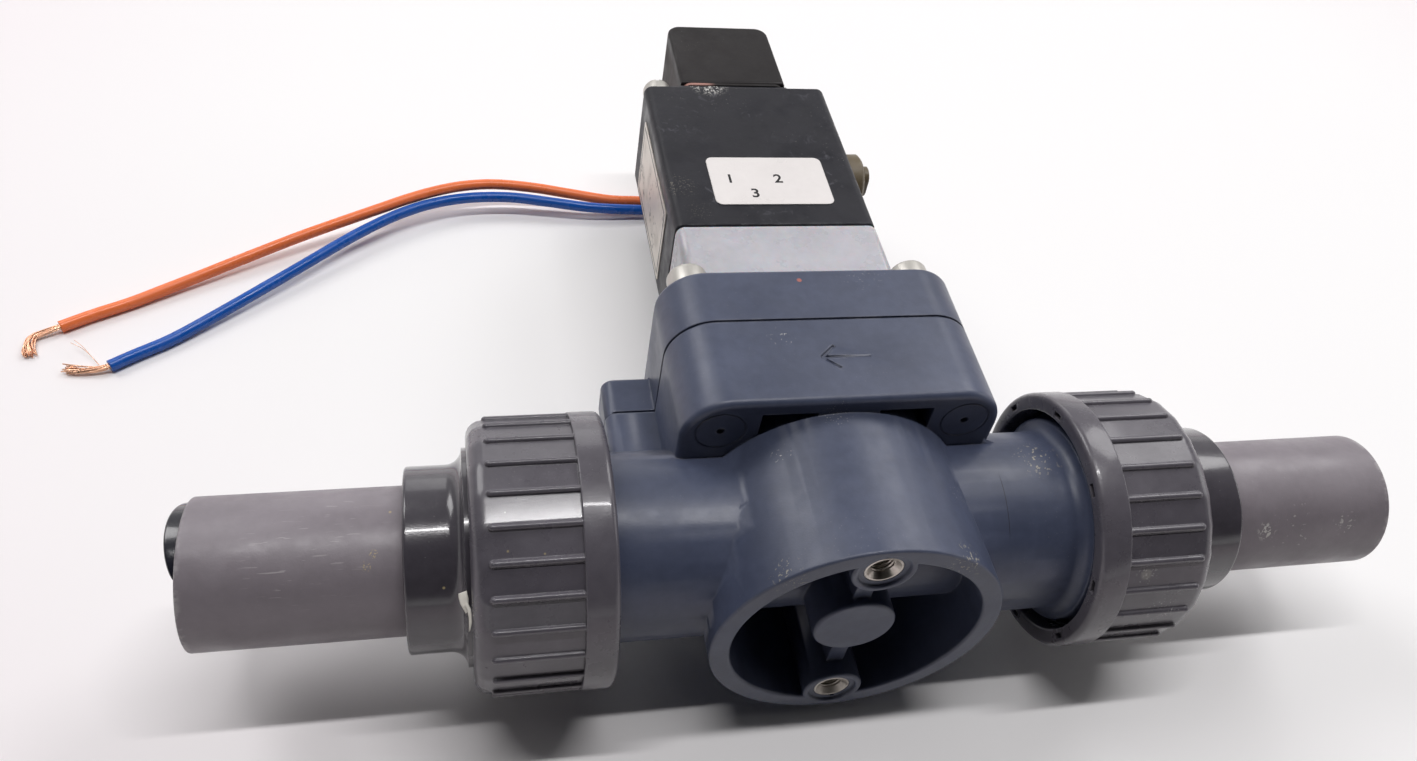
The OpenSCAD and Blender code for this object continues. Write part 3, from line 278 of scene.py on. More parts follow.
def grip_hatch(f):
    """Fine slanting ribs on the plug's outlet side."""
    ribs = f.node("ShaderNodeTexWave", {"bands_direction": "DIAGONAL"}, {"Vector": f.place, "Scale": 620})
    inside = f.step(abs(f.z - at(0, 0, COIL_Z).z), 13.5 * MM, 12.5 * MM)
    return ribs * inside * f.step(f.x, (PLUG_SIDE + 0.3) * MM, (PLUG_SIDE + 0.1) * MM)


def burr(f):
    """Ragged pale edge of a sawn pipe."""
    ragged = f.step(f.noise(520, 3), 0.42, 0.62)
    return f.step(abs(f.x), (PIPE_END - 1.8) * MM, (PIPE_END - 0.4) * MM) * ragged


def wiped_dust(f):
    """Dried wipe marks on the coil block's face."""
    swirl = f.noise(240, 5, 0.7, 1.4)
    return f.step(swirl, 0.56, 0.66) * f.step(f.noise(60, 2), 0.45, 0.65)


def gasket_darkened_part(f):
    """The part of the plug's gasket painted near black from about x = -5 mm towards the inlet side, fading
    out by x = -9 mm.
    """
    return f.step(f.x, -9 * MM, -5 * MM)


def moulded(name, colour, tone=0.16, rough=0.42, rough_spread=0.12, grain=0.00002, dust=0.2, edge_wear_and_light=0.3,
            edge_wear_and_light_tint=(0.5, 0.5, 0.52), round_edge=0.0004, marks=(), **extra):
    """Moulded plastic: cloudy tone, fine skin, specks of dust, paler edges and its own marks."""
    f = Finish(name)
    cloud = f.noise(38, 4, 0.6)
    fine = f.noise(420, 3, 0.6)
    skin = f.noise(2600, 2, 0.5)
    specks = f.step(f.cells(900), 0.16, 0.05) * f.step(f.noise(70, 3), 0.5, 0.66)
    deep = [part * (1 - tone) for part in colour]
    pale = [part * (1 + tone) + 0.002 for part in colour]
    base = f.mix(deep, pale, f.step(cloud * 0.7 + fine * 0.3, 0.3, 0.7))
    base = f.mix(base, (0.62, 0.6, 0.58), specks * dust)
    # Paler edges: wear on most pieces, painted light on the milky pilot.
    rim = f.edge(round_edge * 2.2) * f.step(f.noise(160, 4), 0.42, 0.66)
    base = f.mix(base, edge_wear_and_light_tint, rim * edge_wear_and_light)
    uneven = f.step(f.noise(95, 5, 0.65), 0.3, 0.7, rough - rough_spread, rough + rough_spread) + specks * 0.2
    for mask, tint, strength in marks:
        share = mask(f) * strength
        base = f.mix(base, tint, share)
        uneven = uneven + share * 0.2
    normal = f.bump(skin + fine * 1.5, grain, 0.8, f.soft_edges(round_edge))
    return f.done(Base_Color=base, Roughness=uneven, Normal=normal, **extra)


CHALK, DIRT, RESIN = (0.66, 0.65, 0.62), (0.4, 0.37, 0.3), (0.62, 0.5, 0.24)
SHADE, RUST, SCRAPED = (0.02, 0.022, 0.03), (0.42, 0.13, 0.1), (0.5, 0.47, 0.48)
SLATE_MARKS = (
    (spot(-3.9, 45.9, 36.7, 0.4, 0.75), RUST, 0.9), (flecks(11, 49.4, 36.4, 9, 1500, 0.64), CHALK, 0.3),
    (flecks(-3, 9, 32.6, 4.5, 2200, 0.62), CHALK, 0.5), (flecks(46, 2.7, 21.8, 7, 1100), DIRT, 0.8),
    (flecks(22, -8, 24, 4, 1500, 0.64), CHALK, 0.5), (flecks(17.3, -26.5, 25.1, 6), DIRT, 0.8),
    (flecks(-19.2, -25, 23.7, 5), DIRT, 0.7), (flecks(-16, 2, 28.4, 3, 1500, 0.62), CHALK, 0.7),
    (flecks(-12, 28, 36.7, 4, 1200, 0.64), CHALK, 0.7), (mould_line, SHADE, 0.8))
slate = moulded("slate_plastic", (0.064, 0.077, 0.127), rough=0.39, rough_spread=0.06, dust=0.1, edge_wear_and_light=0.2,
                round_edge=0.0006, marks=SLATE_MARKS, Specular_IOR_Level=0.52)
UNION_MARKS = (
    (spot(64.2, -25.8, 14, 0.9, 1.7), (0.3, 0.29, 0.26), 0.5),
    (flecks(64.2, -25.8, 14, 3.5, 1800, 0.6), CHALK, 0.4),
    (flecks(71, -29.4, 3.2, 6, 1800, 0.62), CHALK, 0.5), (spot(-74.2, -15.7, 24.8, 0.1, 0.4), RESIN, 0.6),
    (spot(-67.1, -16.5, 24.3, 0.1, 0.35), RESIN, 0.6), (spot(-74.4, -8.7, 28, 0.1, 0.3), CHALK, 0.5),
    (flecks(-82, -20, 15, 4, 1500, 0.62), RESIN, 0.5))
union_grey = moulded("union_gloss_plastic", (0.096, 0.089, 0.106), rough=0.3, rough_spread=0.06, dust=0.1,
                     edge_wear_and_light=0.14, marks=UNION_MARKS, Coat_Weight=0.32, Coat_Roughness=0.08)
TAIL_MARKS = ((spot(-86.7, -15.4, 12.7, 0.1, 0.4), RESIN, 0.6),)
tail_grey = moulded("tail_gloss_plastic", (0.056, 0.051, 0.062), rough=0.2, rough_spread=0.05, dust=0.08,
                    edge_wear_and_light=0.12, marks=TAIL_MARKS, Coat_Weight=0.4, Coat_Roughness=0.06)
pipe_grey = moulded("pipe_plastic", (0.231, 0.206, 0.228), tone=0.1, rough=0.4, dust=0.12, edge_wear_and_light=0.35, marks=(
    (scratches(-112, -4, 15.3, 18), SCRAPED, 0.32), (scratches(-118, -9, 13, 9), SCRAPED, 0.36),
    (flecks(104.1, -13.5, 8.6, 3.2, 1000, 0.55), CHALK, 0.8), (flecks(125.5, -13, 9.3, 4, 1000), CHALK, 0.6),
    (flecks(112, -13, 9, 9, 1200, 0.66), CHALK, 0.5),
    (flecks(-100.3, -7.3, 14.2, 1.2, 2600, 0.56), RESIN, 0.8),
    (flecks(-101.7, -9.3, 13, 1.4, 2600, 0.56), RESIN, 0.7),
    (spot(-97, 1.5, 15.9, 0.1, 0.4), RESIN, 0.6), (burr, (0.5, 0.48, 0.48), 0.5)))
# Painted shade: near black for the shaded inside of the outlet pipe's far wall, glossy so it still catches
# highlights.
lip_painted_shade = moulded("pipe_lip_plastic", (0.014, 0.014, 0.022), rough=0.2, rough_spread=0.05, edge_wear_and_light=0.1,
                    Coat_Weight=0.6, Coat_Roughness=0.05)
coil_black = moulded("coil_plastic", (0.0115, 0.0115, 0.0175), rough=0.42, dust=0.3, edge_wear_and_light=0.3, marks=(
    (wiped_dust, (0.075, 0.075, 0.092), 0.7), (flecks(-23.4, 94.3, 25.5, 6, 1800, 0.6), DIRT, 0.3),
    (flecks(-8, 140.4, 24.4, 7, 1700, 0.52), CHALK, 0.9), (flecks(-20, 84, 25.5, 5, 1800, 0.62), DIRT, 0.25)),
    Specular_IOR_Level=0.35)
plug_black = moulded("plug_plastic", (0.0108, 0.0082, 0.009), rough=0.5, dust=0.16, edge_wear_and_light=0.25, marks=(
    (grip_hatch, (0.055, 0.038, 0.036), 0.8),), Specular_IOR_Level=0.32)
# Its near white edges are painted light, brighter where light would glow through the milky plastic.
milky = moulded("milky_plastic", (0.5, 0.495, 0.535), tone=0.09, rough=0.3, dust=0.05, edge_wear_and_light=0.6,
                edge_wear_and_light_tint=(0.8, 0.8, 0.82), round_edge=0.0007, Subsurface_Weight=0.35, Subsurface_Scale=0.004)
khaki = moulded("lever_plastic", (0.16, 0.125, 0.075), rough=0.42, dust=0.15, edge_wear_and_light=0.3)
cream = moulded("bobbin_plastic", (0.6, 0.56, 0.46), tone=0.06, dust=0.05)
rubber = moulded("seal_rubber", (0.014, 0.014, 0.015), rough=0.62, dust=0.25, edge_wear_and_light=0.0)
red_gasket = moulded("gasket_rubber", (0.4, 0.2, 0.165), rough=0.6, dust=0.1, edge_wear_and_light=0.1, marks=(
    (gasket_darkened_part, (0.012, 0.01, 0.01), 1.0),))
orange = moulded("orange_insulation", (0.98, 0.22, 0.065), tone=0.06, rough=0.3, dust=0.03, edge_wear_and_light=0.0)
blue = moulded("blue_insulation", (0.008, 0.1, 0.46), tone=0.06, rough=0.28, dust=0.03, edge_wear_and_light=0.0)
paper = moulded("label_paper", (0.82, 0.785, 0.77), tone=0.03, rough=0.38, dust=0.04, edge_wear_and_light=0.2)
ink = moulded("label_ink", (0.008, 0.008, 0.01), rough=0.5, dust=0.0, edge_wear_and_light=0.0)
tape = moulded("thread_tape", (0.8, 0.77, 0.7), tone=0.12, rough=0.6, edge_wear_and_light=0.0)


def metal(name, colour, rough=0.34, grain=0.00001, dull=0.2, dull_tint=(0.2, 0.19, 0.17), marks=()):
    """Bare metal with tarnish, fine tool marks and its own marks."""
    f = Finish(name)
    lines = f.noise(900, 4, 0.6, 0.3, f.stretched((1, 0.12, 1)))
    stain = f.step(f.noise(140, 4, 0.6), 0.46, 0.7) * dull
    base = f.mix([part * 0.86 for part in colour], colour, lines)
    base = f.mix(base, dull_tint, stain)
    bare = 1.0 - stain * 0.6
    for mask, tint, strength in marks:
        share = mask(f) * strength
        base = f.mix(base, tint, share)
        bare = bare * (1 - share)
    normal = f.bump(lines, grain, 0.7, f.soft_edges(0.0002))
    return f.done(Base_Color=base, Metallic=bare, Roughness=rough + stain * 0.8 + lines * 0.06, Normal=normal)


def plate_frame(f):
    """A printed line just inside the nameplate's edge."""
    low, high = span("side_nameplate")
    middle = at(*((low + high) / 2))
    half = (high - low) / 2 * MM
    across, up = abs(f.y - middle.y) - half.y, abs(f.z - middle.z) - half.z
    return f.step(abs(across.maths("MAXIMUM", across, up) + 1.5 * MM), 0.4 * MM, 0.3 * MM)


def worn_print(f):
    """Dark patches where the nameplate's face has rubbed."""
    return f.step(f.noise(110, 4, 0.7), 0.56, 0.62) * f.step(f.noise(700, 3), 0.4, 0.6)


zinc = metal("screw_steel", (0.62, 0.6, 0.56), rough=0.42)
spring_steel = metal("spring_steel", (0.6, 0.6, 0.61), rough=0.28, dull=0.08)
inner_steel = metal("inner_steel", (0.5, 0.5, 0.52), rough=0.34)
nickel = metal("insert_nickel", (0.55, 0.51, 0.46), rough=0.26, dull=0.4, dull_tint=(0.1, 0.085, 0.07))
brass = metal("blade_brass", (0.68, 0.54, 0.3), rough=0.3)
copper = metal("strand_copper", (0.93, 0.56, 0.38), rough=0.24, dull=0.3, dull_tint=(0.4, 0.17, 0.09))
lacquer = metal("winding_copper", (0.5, 0.16, 0.06), rough=0.25)
silver = metal("nameplate_metal", (0.7, 0.66, 0.6), rough=0.4, marks=(
    (plate_frame, (0.03, 0.03, 0.03), 0.9), (worn_print, (0.05, 0.045, 0.045), 0.8)))

FINISHES = {
    brass: "terminal_blades", zinc: "plug_screw", cream: "coil_bobbin", khaki: "override_lever",
    red_gasket: "plug_gasket", paper: "front_label", silver: "side_nameplate",
    rubber: "channel_seal pilot_gasket pilot_diaphragm override_seal gland_bush inlet_o_ring outlet_o_ring",
    inner_steel: "diaphragm_plate diaphragm_retainer pilot_seats rocker rocker_pin armature coil_core "
                 "coil_yoke",
}
for finish, names in FINISHES.items():
    for name in names.split():
        NODES[name].data.materials.clear()
        NODES[name].data.materials.append(finish)


# Shapes
def evaluated(made):
    """An object's evaluated form as a plain mesh."""
    graph = bpy.context.evaluated_depsgraph_get()
    return bpy.data.meshes.new_from_object(made.evaluated_get(graph))


def finished_mesh(made):
    """Gives an object its evaluated form and takes its modifiers off."""
    mesh = evaluated(made)
    made.modifiers.clear()
    made.data = mesh
    return made


def shade(mesh, angle=32):
    """Smooth shading, with edges past an angle kept sharp."""
    mesh.polygons.foreach_set("use_smooth", [True] * len(mesh.polygons))
    mesh.set_sharp_from_angle(angle=math.radians(angle))


def as_mesh(bm, name):
    """A plain mesh of a worked one."""
    mesh = bpy.data.meshes.new(name)
    bm.to_mesh(mesh)
    bm.free()
    return mesh


def drop(made):
    bpy.data.objects.remove(made)


def dress(made, body, nodes, slot):
    """Lets a piece ride on its body in place of its solids."""
    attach(made, body)
    if nodes:
        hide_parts(*nodes)
    return made


def eased(corners, steps=5):
    """An outline whose corners (x, y, radius) are rounded."""
    line = []
    for i, (x, y, radius) in enumerate(corners):
        corner = Vector((x, y))
        if radius <= 0:
            line.append(corner)
            continue
        before = (Vector(corners[i - 1][:2]) - corner).normalized()
        after = (Vector(corners[(i + 1) % len(corners)][:2]) - corner).normalized()
        half = before.angle(after) / 2
        reach = radius / math.tan(half)
        centre = corner + (before + after).normalized() * radius / math.sin(half)
        first = corner + before * reach - centre
        turn = first.angle_signed(corner + after * reach - centre)
        for k in range(steps + 1):
            line.append(centre + Matrix.Rotation(-turn * k / steps, 2) @ first)
    return line


def turned(outline, place, segments=144):
    """A closed outline of (distance along an axis, radius), turned round that axis."""
    bm = bmesh.new()
    rings = []
    for k in range(segments):
        angle = 2 * math.pi * k / segments
        rings.append([bm.verts.new(place(along, radius, angle)) for along, radius in outline])
    count = len(outline)
    for k in range(segments):
        here, there = rings[k], rings[(k + 1) % segments]
        for i in range(count):
            j = (i + 1) % count
            if outline[i][1] > 0 or outline[j][1] > 0:
                bm.faces.new((here[i], here[j], there[j], there[i]))
    bmesh.ops.remove_doubles(bm, verts=bm.verts, dist=1e-7)
    bmesh.ops.recalc_face_normals(bm, faces=bm.faces)
    mesh = as_mesh(bm, "turned")
    shade(mesh)
    return mesh


def on_flow(side):
    """Turning round the flow axis, towards the inlet or the outlet."""
    return lambda along, radius, angle: at(side * along, radius * math.cos(angle), radius * math.sin(angle))


def on_stem(x=0, z=0):
    """Turning round a line that runs along the stem."""
    return lambda along, radius, angle: at(x + radius * math.cos(angle), along, z + radius * math.sin(angle))


def eased_copy(node, cuts):
    """A merged copy of a solid with edges rounded. Each cut is (test of middle and run, radius, steps)."""
    bm = bmesh.new()
    bm.from_mesh(NODES[node].data)
    bmesh.ops.remove_doubles(bm, verts=bm.verts, dist=2e-6)
    bmesh.ops.dissolve_limit(bm, angle_limit=math.radians(0.6), use_dissolve_boundaries=False, verts=bm.verts,
                             edges=bm.edges)
    for test, radius, steps in cuts:
        chosen = []
        for edge in bm.edges:
            if len(edge.link_faces) == 2 and edge.calc_face_angle(0) > math.radians(30):
                first, last = (vert.co / MM - AXIS for vert in edge.verts)
                if test((first + last) / 2, (last - first).normalized()):
                    chosen.append(edge)
        bmesh.ops.bevel(bm, geom=chosen, offset=radius * MM, segments=steps, profile=0.5, affect="EDGES",
                        clamp_overlap=False, loop_slide=True)
    mesh = as_mesh(bm, node + "_eased")
    shade(mesh)
    return mesh


def weighted(made):
    """Keeps flat faces flat beside their rounded edges."""
    modifier = made.modifiers.new("flat_faces", "WEIGHTED_NORMAL")
    modifier.keep_sharp = True
    modifier.weight = 80
    return finished_mesh(made)


def eased_piece(name, node, finish, slot, cuts):
    mesh = eased_copy(node, cuts)
    mesh.materials.append(finish)
    return dress(weighted(add_object(name, mesh)), "valve", [node], slot)


class Tree(Graph):
    """A geometry tree with named sizes, in metres."""

    KINDS = {int: "NodeSocketInt", float: "NodeSocketFloat", bpy.types.Object: "NodeSocketObject"}

    def __init__(self, name, **sizes):
        super().__init__(bpy.data.node_groups.new(name, "GeometryNodeTree"))
        self.keys = {}
        for label, kind in sizes.items():
            socket = self.tree.interface.new_socket(label, in_out="INPUT", socket_type=self.KINDS[kind])
            self.keys[label] = socket.identifier
        self.tree.interface.new_socket("Geometry", in_out="OUTPUT", socket_type="NodeSocketGeometry")
        self.source = self.tree.nodes.new("NodeGroupInput")

    def size(self, label):
        return Value(self, self.source.outputs[label])

    def point(self, x=0.0, y=0.0, z=0.0):
        return self.node("ShaderNodeCombineXYZ", None, {0: x, 1: y, 2: z})

    def shape(self, label):
        return self.node("GeometryNodeObjectInfo", None, {"Object": self.size(label)}, "Geometry")

    def moved(self, geometry, place=(0, 0, 0), turn=(0, 0, 0)):
        return self.node("GeometryNodeTransform", None, {
            "Geometry": geometry, "Translation": place, "Rotation": turn})

    def round_the_axis(self, geometry, count, start=0.0):
        """Copies round the X axis."""
        spots = self.node("GeometryNodeMeshLine", None, {"Count": count, "Offset": (0, 0, 0)})
        turn = (self.node("GeometryNodeInputIndex") + start) * (2 * math.pi) / count
        return self.set_on(spots, geometry, self.point(turn))

    def set_on(self, points, geometry, turn=(0, 0, 0)):
        return self.node("GeometryNodeInstanceOnPoints", None, {
            "Points": points, "Instance": geometry, "Rotation": turn})

    def solid(self, copies):
        return self.node("GeometryNodeRealizeInstances", None, {"Geometry": copies})

    def cut(self, geometry, cutter):
        return self.node("GeometryNodeMeshBoolean", {"operation": "DIFFERENCE", "solver": "EXACT"}, {
            "Mesh 1": geometry, "Mesh 2": cutter})

    def rod(self, start, end, radius, sides=12):
        line = self.node("GeometryNodeCurvePrimitiveLine", None, {"Start": start, "End": end})
        return self.along(line, radius, sides)

    def along(self, curve, radius, sides=8):
        ring = self.node("GeometryNodeCurvePrimitiveCircle", None, {"Resolution": sides, "Radius": radius})
        return self.node("GeometryNodeCurveToMesh", None, {
            "Curve": curve, "Profile Curve": ring, "Fill Caps": True})

    def joined(self, *parts):
        made = self.node("GeometryNodeJoinGeometry")
        for part in parts:
            self.tree.links.new(part.socket, made.socket.node.inputs[0])
        return made

    def ends(self, geometry, finish):
        painted = self.node("GeometryNodeSetMaterial", None, {
            "Geometry": self.solid(geometry), "Material": finish})
        self.feed(self.tree.nodes.new("NodeGroupOutput").inputs["Geometry"], painted)
        return self

    def make(self, name, **sizes):
        made = add_object(name, bpy.data.meshes.new(name))
        modifier = made.modifiers.new(name, "NODES")
        modifier.node_group = self.tree
        for label, value in sizes.items():
            modifier[self.keys[label]] = value
        return finished_mesh(made)


HELIX = {"Turns": float, "Radius": float, "Length": float, "Wire": float}


def wound(tree, turn=(-math.pi / 2, 0, 0)):
    """A helix from the origin along the stem, or along another turned axis."""
    radius = tree.size("Radius")
    spiral = tree.node("GeometryNodeCurveSpiral", None, {
        "Resolution": 32, "Rotations": tree.size("Turns"), "Start Radius": radius, "End Radius": radius,
        "Height": tree.size("Length")})
    return tree.moved(tree.along(spiral, tree.size("Wire"), 6), turn=turn)


# The two wires, on the same routes as their solids
def smooth_route(points, steps=6):
    """Points of a smooth curve through a route, in millimetres."""
    spots = [Vector(point) for point in points]
    last = len(spots) - 1
    line = []
    for i in range(last):
        a, b, c, d = spots[max(i - 1, 0)], spots[i], spots[i + 1], spots[min(i + 2, last)]
        for k in range(steps):
            t = k / steps
            bend = (c - a) * t + (2 * a - 5 * b + 4 * c - d) * t ** 2 + (3 * b - a - 3 * c + d) * t ** 3
            line.append(b + bend / 2)
    return line + [spots[last]]


ORANGE_ROUTE = (
    (0, 158, -20), (0, 158, -21.5), (-2, 158, -27), (-7, 158, -32), (-14, 158, -33.5), (-22, 158.5, -33.5),
    (-31, 158.5, -33), (-44, 160, -31.5), (-56, 161, -29.8), (-68, 161.5, -28.8), (-78, 160, -28.2),
    (-87, 157.4, -28.2), (-96, 154, -28.7), (-104, 150.4, -29.3), (-116, 145.2, -30.4), (-128, 139.8, -31.5),
    (-142, 133, -33), (-155, 126, -34), (-164, 121, -34.5), (-173, 116, -34.9), (-182, 111.5, -34.9),
    (-190, 107, -34.9))
BLUE_ROUTE = (
    (0, 154, -20), (0, 154, -21.5), (-2, 154, -27), (-7, 154, -32), (-14, 154, -33.5), (-22, 154, -33.5),
    (-37, 154, -32.5), (-50, 155.5, -31.5), (-62, 157, -30.7), (-72, 157, -30.4), (-81, 155.9, -30.4),
    (-90, 153.2, -30.4), (-98, 149.5, -30.7), (-105, 145.2, -31.1), (-114, 138.5, -31.6),
    (-127, 127.6, -32.5), (-140, 117, -33.5), (-153, 106.5, -34.4), (-161, 100.5, -34.9), (-169, 95.5, -34.9),
    (-175, 91.5, -34.9))


def lead(name, route, finish, node, slot):
    """An insulated wire from the gland to its stripped end."""
    start = Vector((route[0][0], route[0][1], GLAND_MOUTH + 1))
    line = [at(*point) for point in [start] + smooth_route(route)]
    curve = bpy.data.curves.new(name, "CURVE")
    curve.dimensions = "3D"
    curve.bevel_depth = WIRE_R * MM
    curve.bevel_resolution = 5
    curve.use_fill_caps = True
    spline = curve.splines.new("POLY")
    spline.points.add(len(line) - 1)
    for point, place in zip(spline.points, line):
        point.co = (*place, 1)
    spline.use_smooth = True
    curve.materials.append(finish)
    made = dress(add_object(name, curve), "valve", [node], slot)
    return made, line[0], sum((b - a).length for a, b in zip(line, line[1:]))


orange_lead = lead("orange_lead", ORANGE_ROUTE, orange, "wire_orange", "orange_insulation")
blue_lead = lead("blue_lead", BLUE_ROUTE, blue, "wire_blue", "blue_insulation")


# Stripped ends of the wires
STRAND_COUNT, STRAND_SPREAD, STRAND_R, HAIR_R = 19, 0.82, 0.18, 0.08
STRAND_REACH, STRAND_FLOOR = -198.2, -36.4
GOLDEN_TURN, TWIST = 2.39996, 1.6
ORANGE_STRANDS = (
    (-189.6, 107.3, -35), (-193.5, 105.5, -35.2), (-196.4, 103.8, -35.4), (-196.9, 100.5, -35.6),
    (-196, 97.2, -35.7))
BLUE_STRANDS = ((-174.6, 91.7, -35), (-178.5, 90.8, -35.2), (-182.5, 90.9, -35.3), (-186.6, 91.5, -35.4))
HAIRS = (((-177.5, 91.8, -34.7), (-179.8, 94.7, -34.4), (-182.5, 97.6, -34.2), (-185.9, 99.9, -34)),
         ((-177.8, 92, -34.7), (-180.2, 95.2, -34.3), (-182.8, 98.5, -34), (-185.3, 101, -34)))


def strand_wires(finish):
    """A tree that gives every line of a mesh a round section."""
    tree = Tree("strand_wires", Lines=bpy.types.Object, Radius=float)
    curves = tree.node("GeometryNodeMeshToCurve", None, {"Mesh": tree.shape("Lines")})
    return tree.ends(tree.along(curves, tree.size("Radius"), 6), finish)


def line_object(name, lines):
    """Bare lines, kept inside the part's box."""
    points = [at(max(point.x, STRAND_REACH), point.y, max(point.z, STRAND_FLOOR))
              for line in lines for point in line]
    links = []
    start = 0
    for line in lines:
        links += [(start + i, start + i + 1) for i in range(len(line) - 1)]
        start += len(line)
    mesh = bpy.data.meshes.new(name)
    mesh.from_pydata(points, links, [])
    return add_object(name, mesh)


def bundle(route, flare, draw):
    """Strands that lie round a route, twist along it and open towards its end."""
    line = smooth_route(route)
    lines = []
    for k in range(STRAND_COUNT):
        reach = STRAND_SPREAD * math.sqrt((k + 0.5) / STRAND_COUNT)
        angle = k * GOLDEN_TURN
        stray = Vector([draw.uniform(-0.5, 0.5) for _ in range(3)])
        strand = []
        for i, point in enumerate(line):
            share = i / (len(line) - 1)
            run = (line[min(i + 1, len(line) - 1)] - line[max(i - 1, 0)]).normalized()
            side = run.cross(Vector((0, 0, 1))).normalized()
            up = side.cross(run)
            turn = angle + TWIST * share
            wide = 1 + flare * share ** 1.5
            strand.append(point + side * math.cos(turn) * reach * wide + up * math.sin(turn) * reach * 0.8
                          + stray * share ** 2)
        lines.append(strand[:len(strand) - draw.randrange(3)])
    return lines


draw = random.Random(7)
strand_tree = strand_wires(copper)
for name, node, lines, radius in (
        ("orange_copper", "orange_strands", bundle(ORANGE_STRANDS, 1.1, draw), STRAND_R),
        ("blue_copper", "blue_strands", bundle(BLUE_STRANDS, 0.7, draw), STRAND_R),
        ("blue_hairs", None, [smooth_route(hair, 5) for hair in HAIRS], HAIR_R)):
    source = line_object(name + "_lines", lines)
    made = strand_tree.make(name, Lines=source, Radius=radius * MM)
    drop(source)
    shade(made.data, 60)
    dress(made, "valve", [node] if node else [], "strand_copper")


# Unions
def union_nut():
    """A tree that cuts the notches in a turned nut and lays the ribs on it."""
    tree = Tree("ribbed_nut", Body=bpy.types.Object, Ribs=int, Rib_Phase=float, Rib_Circle=float,
                Rib_Radius=float, Rib_Start=float, Rib_End=float, Notches=int, Notch_Place=float,
                Notch_Circle=float)
    start = tree.point(tree.size("Rib_Start"), 0.0, tree.size("Rib_Circle"))
    end = tree.point(tree.size("Rib_End"), 0.0, tree.size("Rib_Circle"))
    ball = tree.node("GeometryNodeMeshUVSphere", None, {
        "Segments": 12, "Rings": 8, "Radius": tree.size("Rib_Radius")}, "Mesh")
    rib = tree.joined(tree.rod(start, end, tree.size("Rib_Radius")), tree.moved(ball, end))
    ribs = tree.round_the_axis(rib, tree.size("Ribs"), tree.size("Rib_Phase"))
    cube = tree.node("GeometryNodeMeshCube", None, {"Size": NOTCH_SIZE * MM}, "Mesh")
    cutter = tree.moved(cube, tree.point(tree.size("Notch_Place"), 0.0, tree.size("Notch_Circle")))
    cutters = tree.solid(tree.round_the_axis(cutter, tree.size("Notches"), 0.5))
    notched = tree.cut(tree.moved(tree.shape("Body"), -AXIS * MM), cutters)
    return tree.ends(tree.moved(tree.joined(notched, ribs), AXIS * MM), union_grey)


nut_tree = union_nut()
NUT_OUTLINE = eased((
    (NUT_START, NUT_BORE_R, 0.5), (NUT_START, BAND_R, 1.4), (NUT_BAND_END, BAND_R, 0.3),
    (NUT_BAND_END, NUT_R, 0), (NUT_END, NUT_R, NUT_ROUND), (NUT_END, ROOT_R + NUT_PLAY, 0.5),
    (NUT_LIP, ROOT_R + NUT_PLAY, 0), (NUT_LIP, NUT_BORE_R, 0)))
TAIL_OUTLINE = eased((
    (COLLAR_START, BORE_R, 0.3), (COLLAR_START, COLLAR_R, 0.4), (COLLAR_END, COLLAR_R, 0.4),
    (COLLAR_END, ROOT_R, 0)))
TAIL_OUTLINE += [Vector((
    ROOT_END + TAIL_HOLLOW - TAIL_HOLLOW * math.cos(math.pi / 2 * k / 8),
    TAIL_R + TAIL_HOLLOW * (1 - math.sin(math.pi / 2 * k / 8)))) for k in range(9)]
TAIL_OUTLINE += eased((
    (TAIL_END - 4, TAIL_R, 0), (TAIL_END, TAIL_R, 0.7), (TAIL_END, SPIGOT_R + GLUE, 0.3),
    (PIPE_START - GLUE, SPIGOT_R + GLUE, 0), (PIPE_START - GLUE, BORE_R, 0)))[1:]
PIPE_OUTLINE = eased((
    (PIPE_START, PIPE_BORE_R, 0), (PIPE_START, SPIGOT_R, 0.4), (TAIL_END + GLUE, SPIGOT_R, 0),
    (TAIL_END + GLUE, PIPE_R, 0.1), (PIPE_END, PIPE_R, 0.5), (PIPE_END, PIPE_BORE_R, 0.3)))


def pushed_end(mesh, push):
    """Moves the points at the outlet pipe's end along the axis, by an amount that goes by the angle."""
    for vertex in mesh.vertices:
        spot_on_valve = vertex.co / MM - AXIS
        if spot_on_valve.x < 1 - PIPE_END:
            vertex.co.x -= push(math.atan2(spot_on_valve.z, spot_on_valve.y)) * MM


def slanting_cut(angle):
    return -SAW_SLANT / 2 * (1 + math.cos(angle))


def faceted(side, phase):
    """Turning round the flow axis, with a flat between each two ribs of a nut."""
    place = on_flow(side)
    half = math.pi / RIB_COUNT
    start = math.pi / 2 + 2 * half * phase

    def put(along, radius, angle):
        outside = radius > NUT_BORE_R + 0.1 or along > NUT_LIP + 1
        if along >= NUT_BAND_END and outside and ROOT_R + 1 < radius < NUT_R + 0.1:
            radius *= math.cos(half) / math.cos((angle - start) % (2 * half) - half)
        return place(along, radius, angle)
    return put


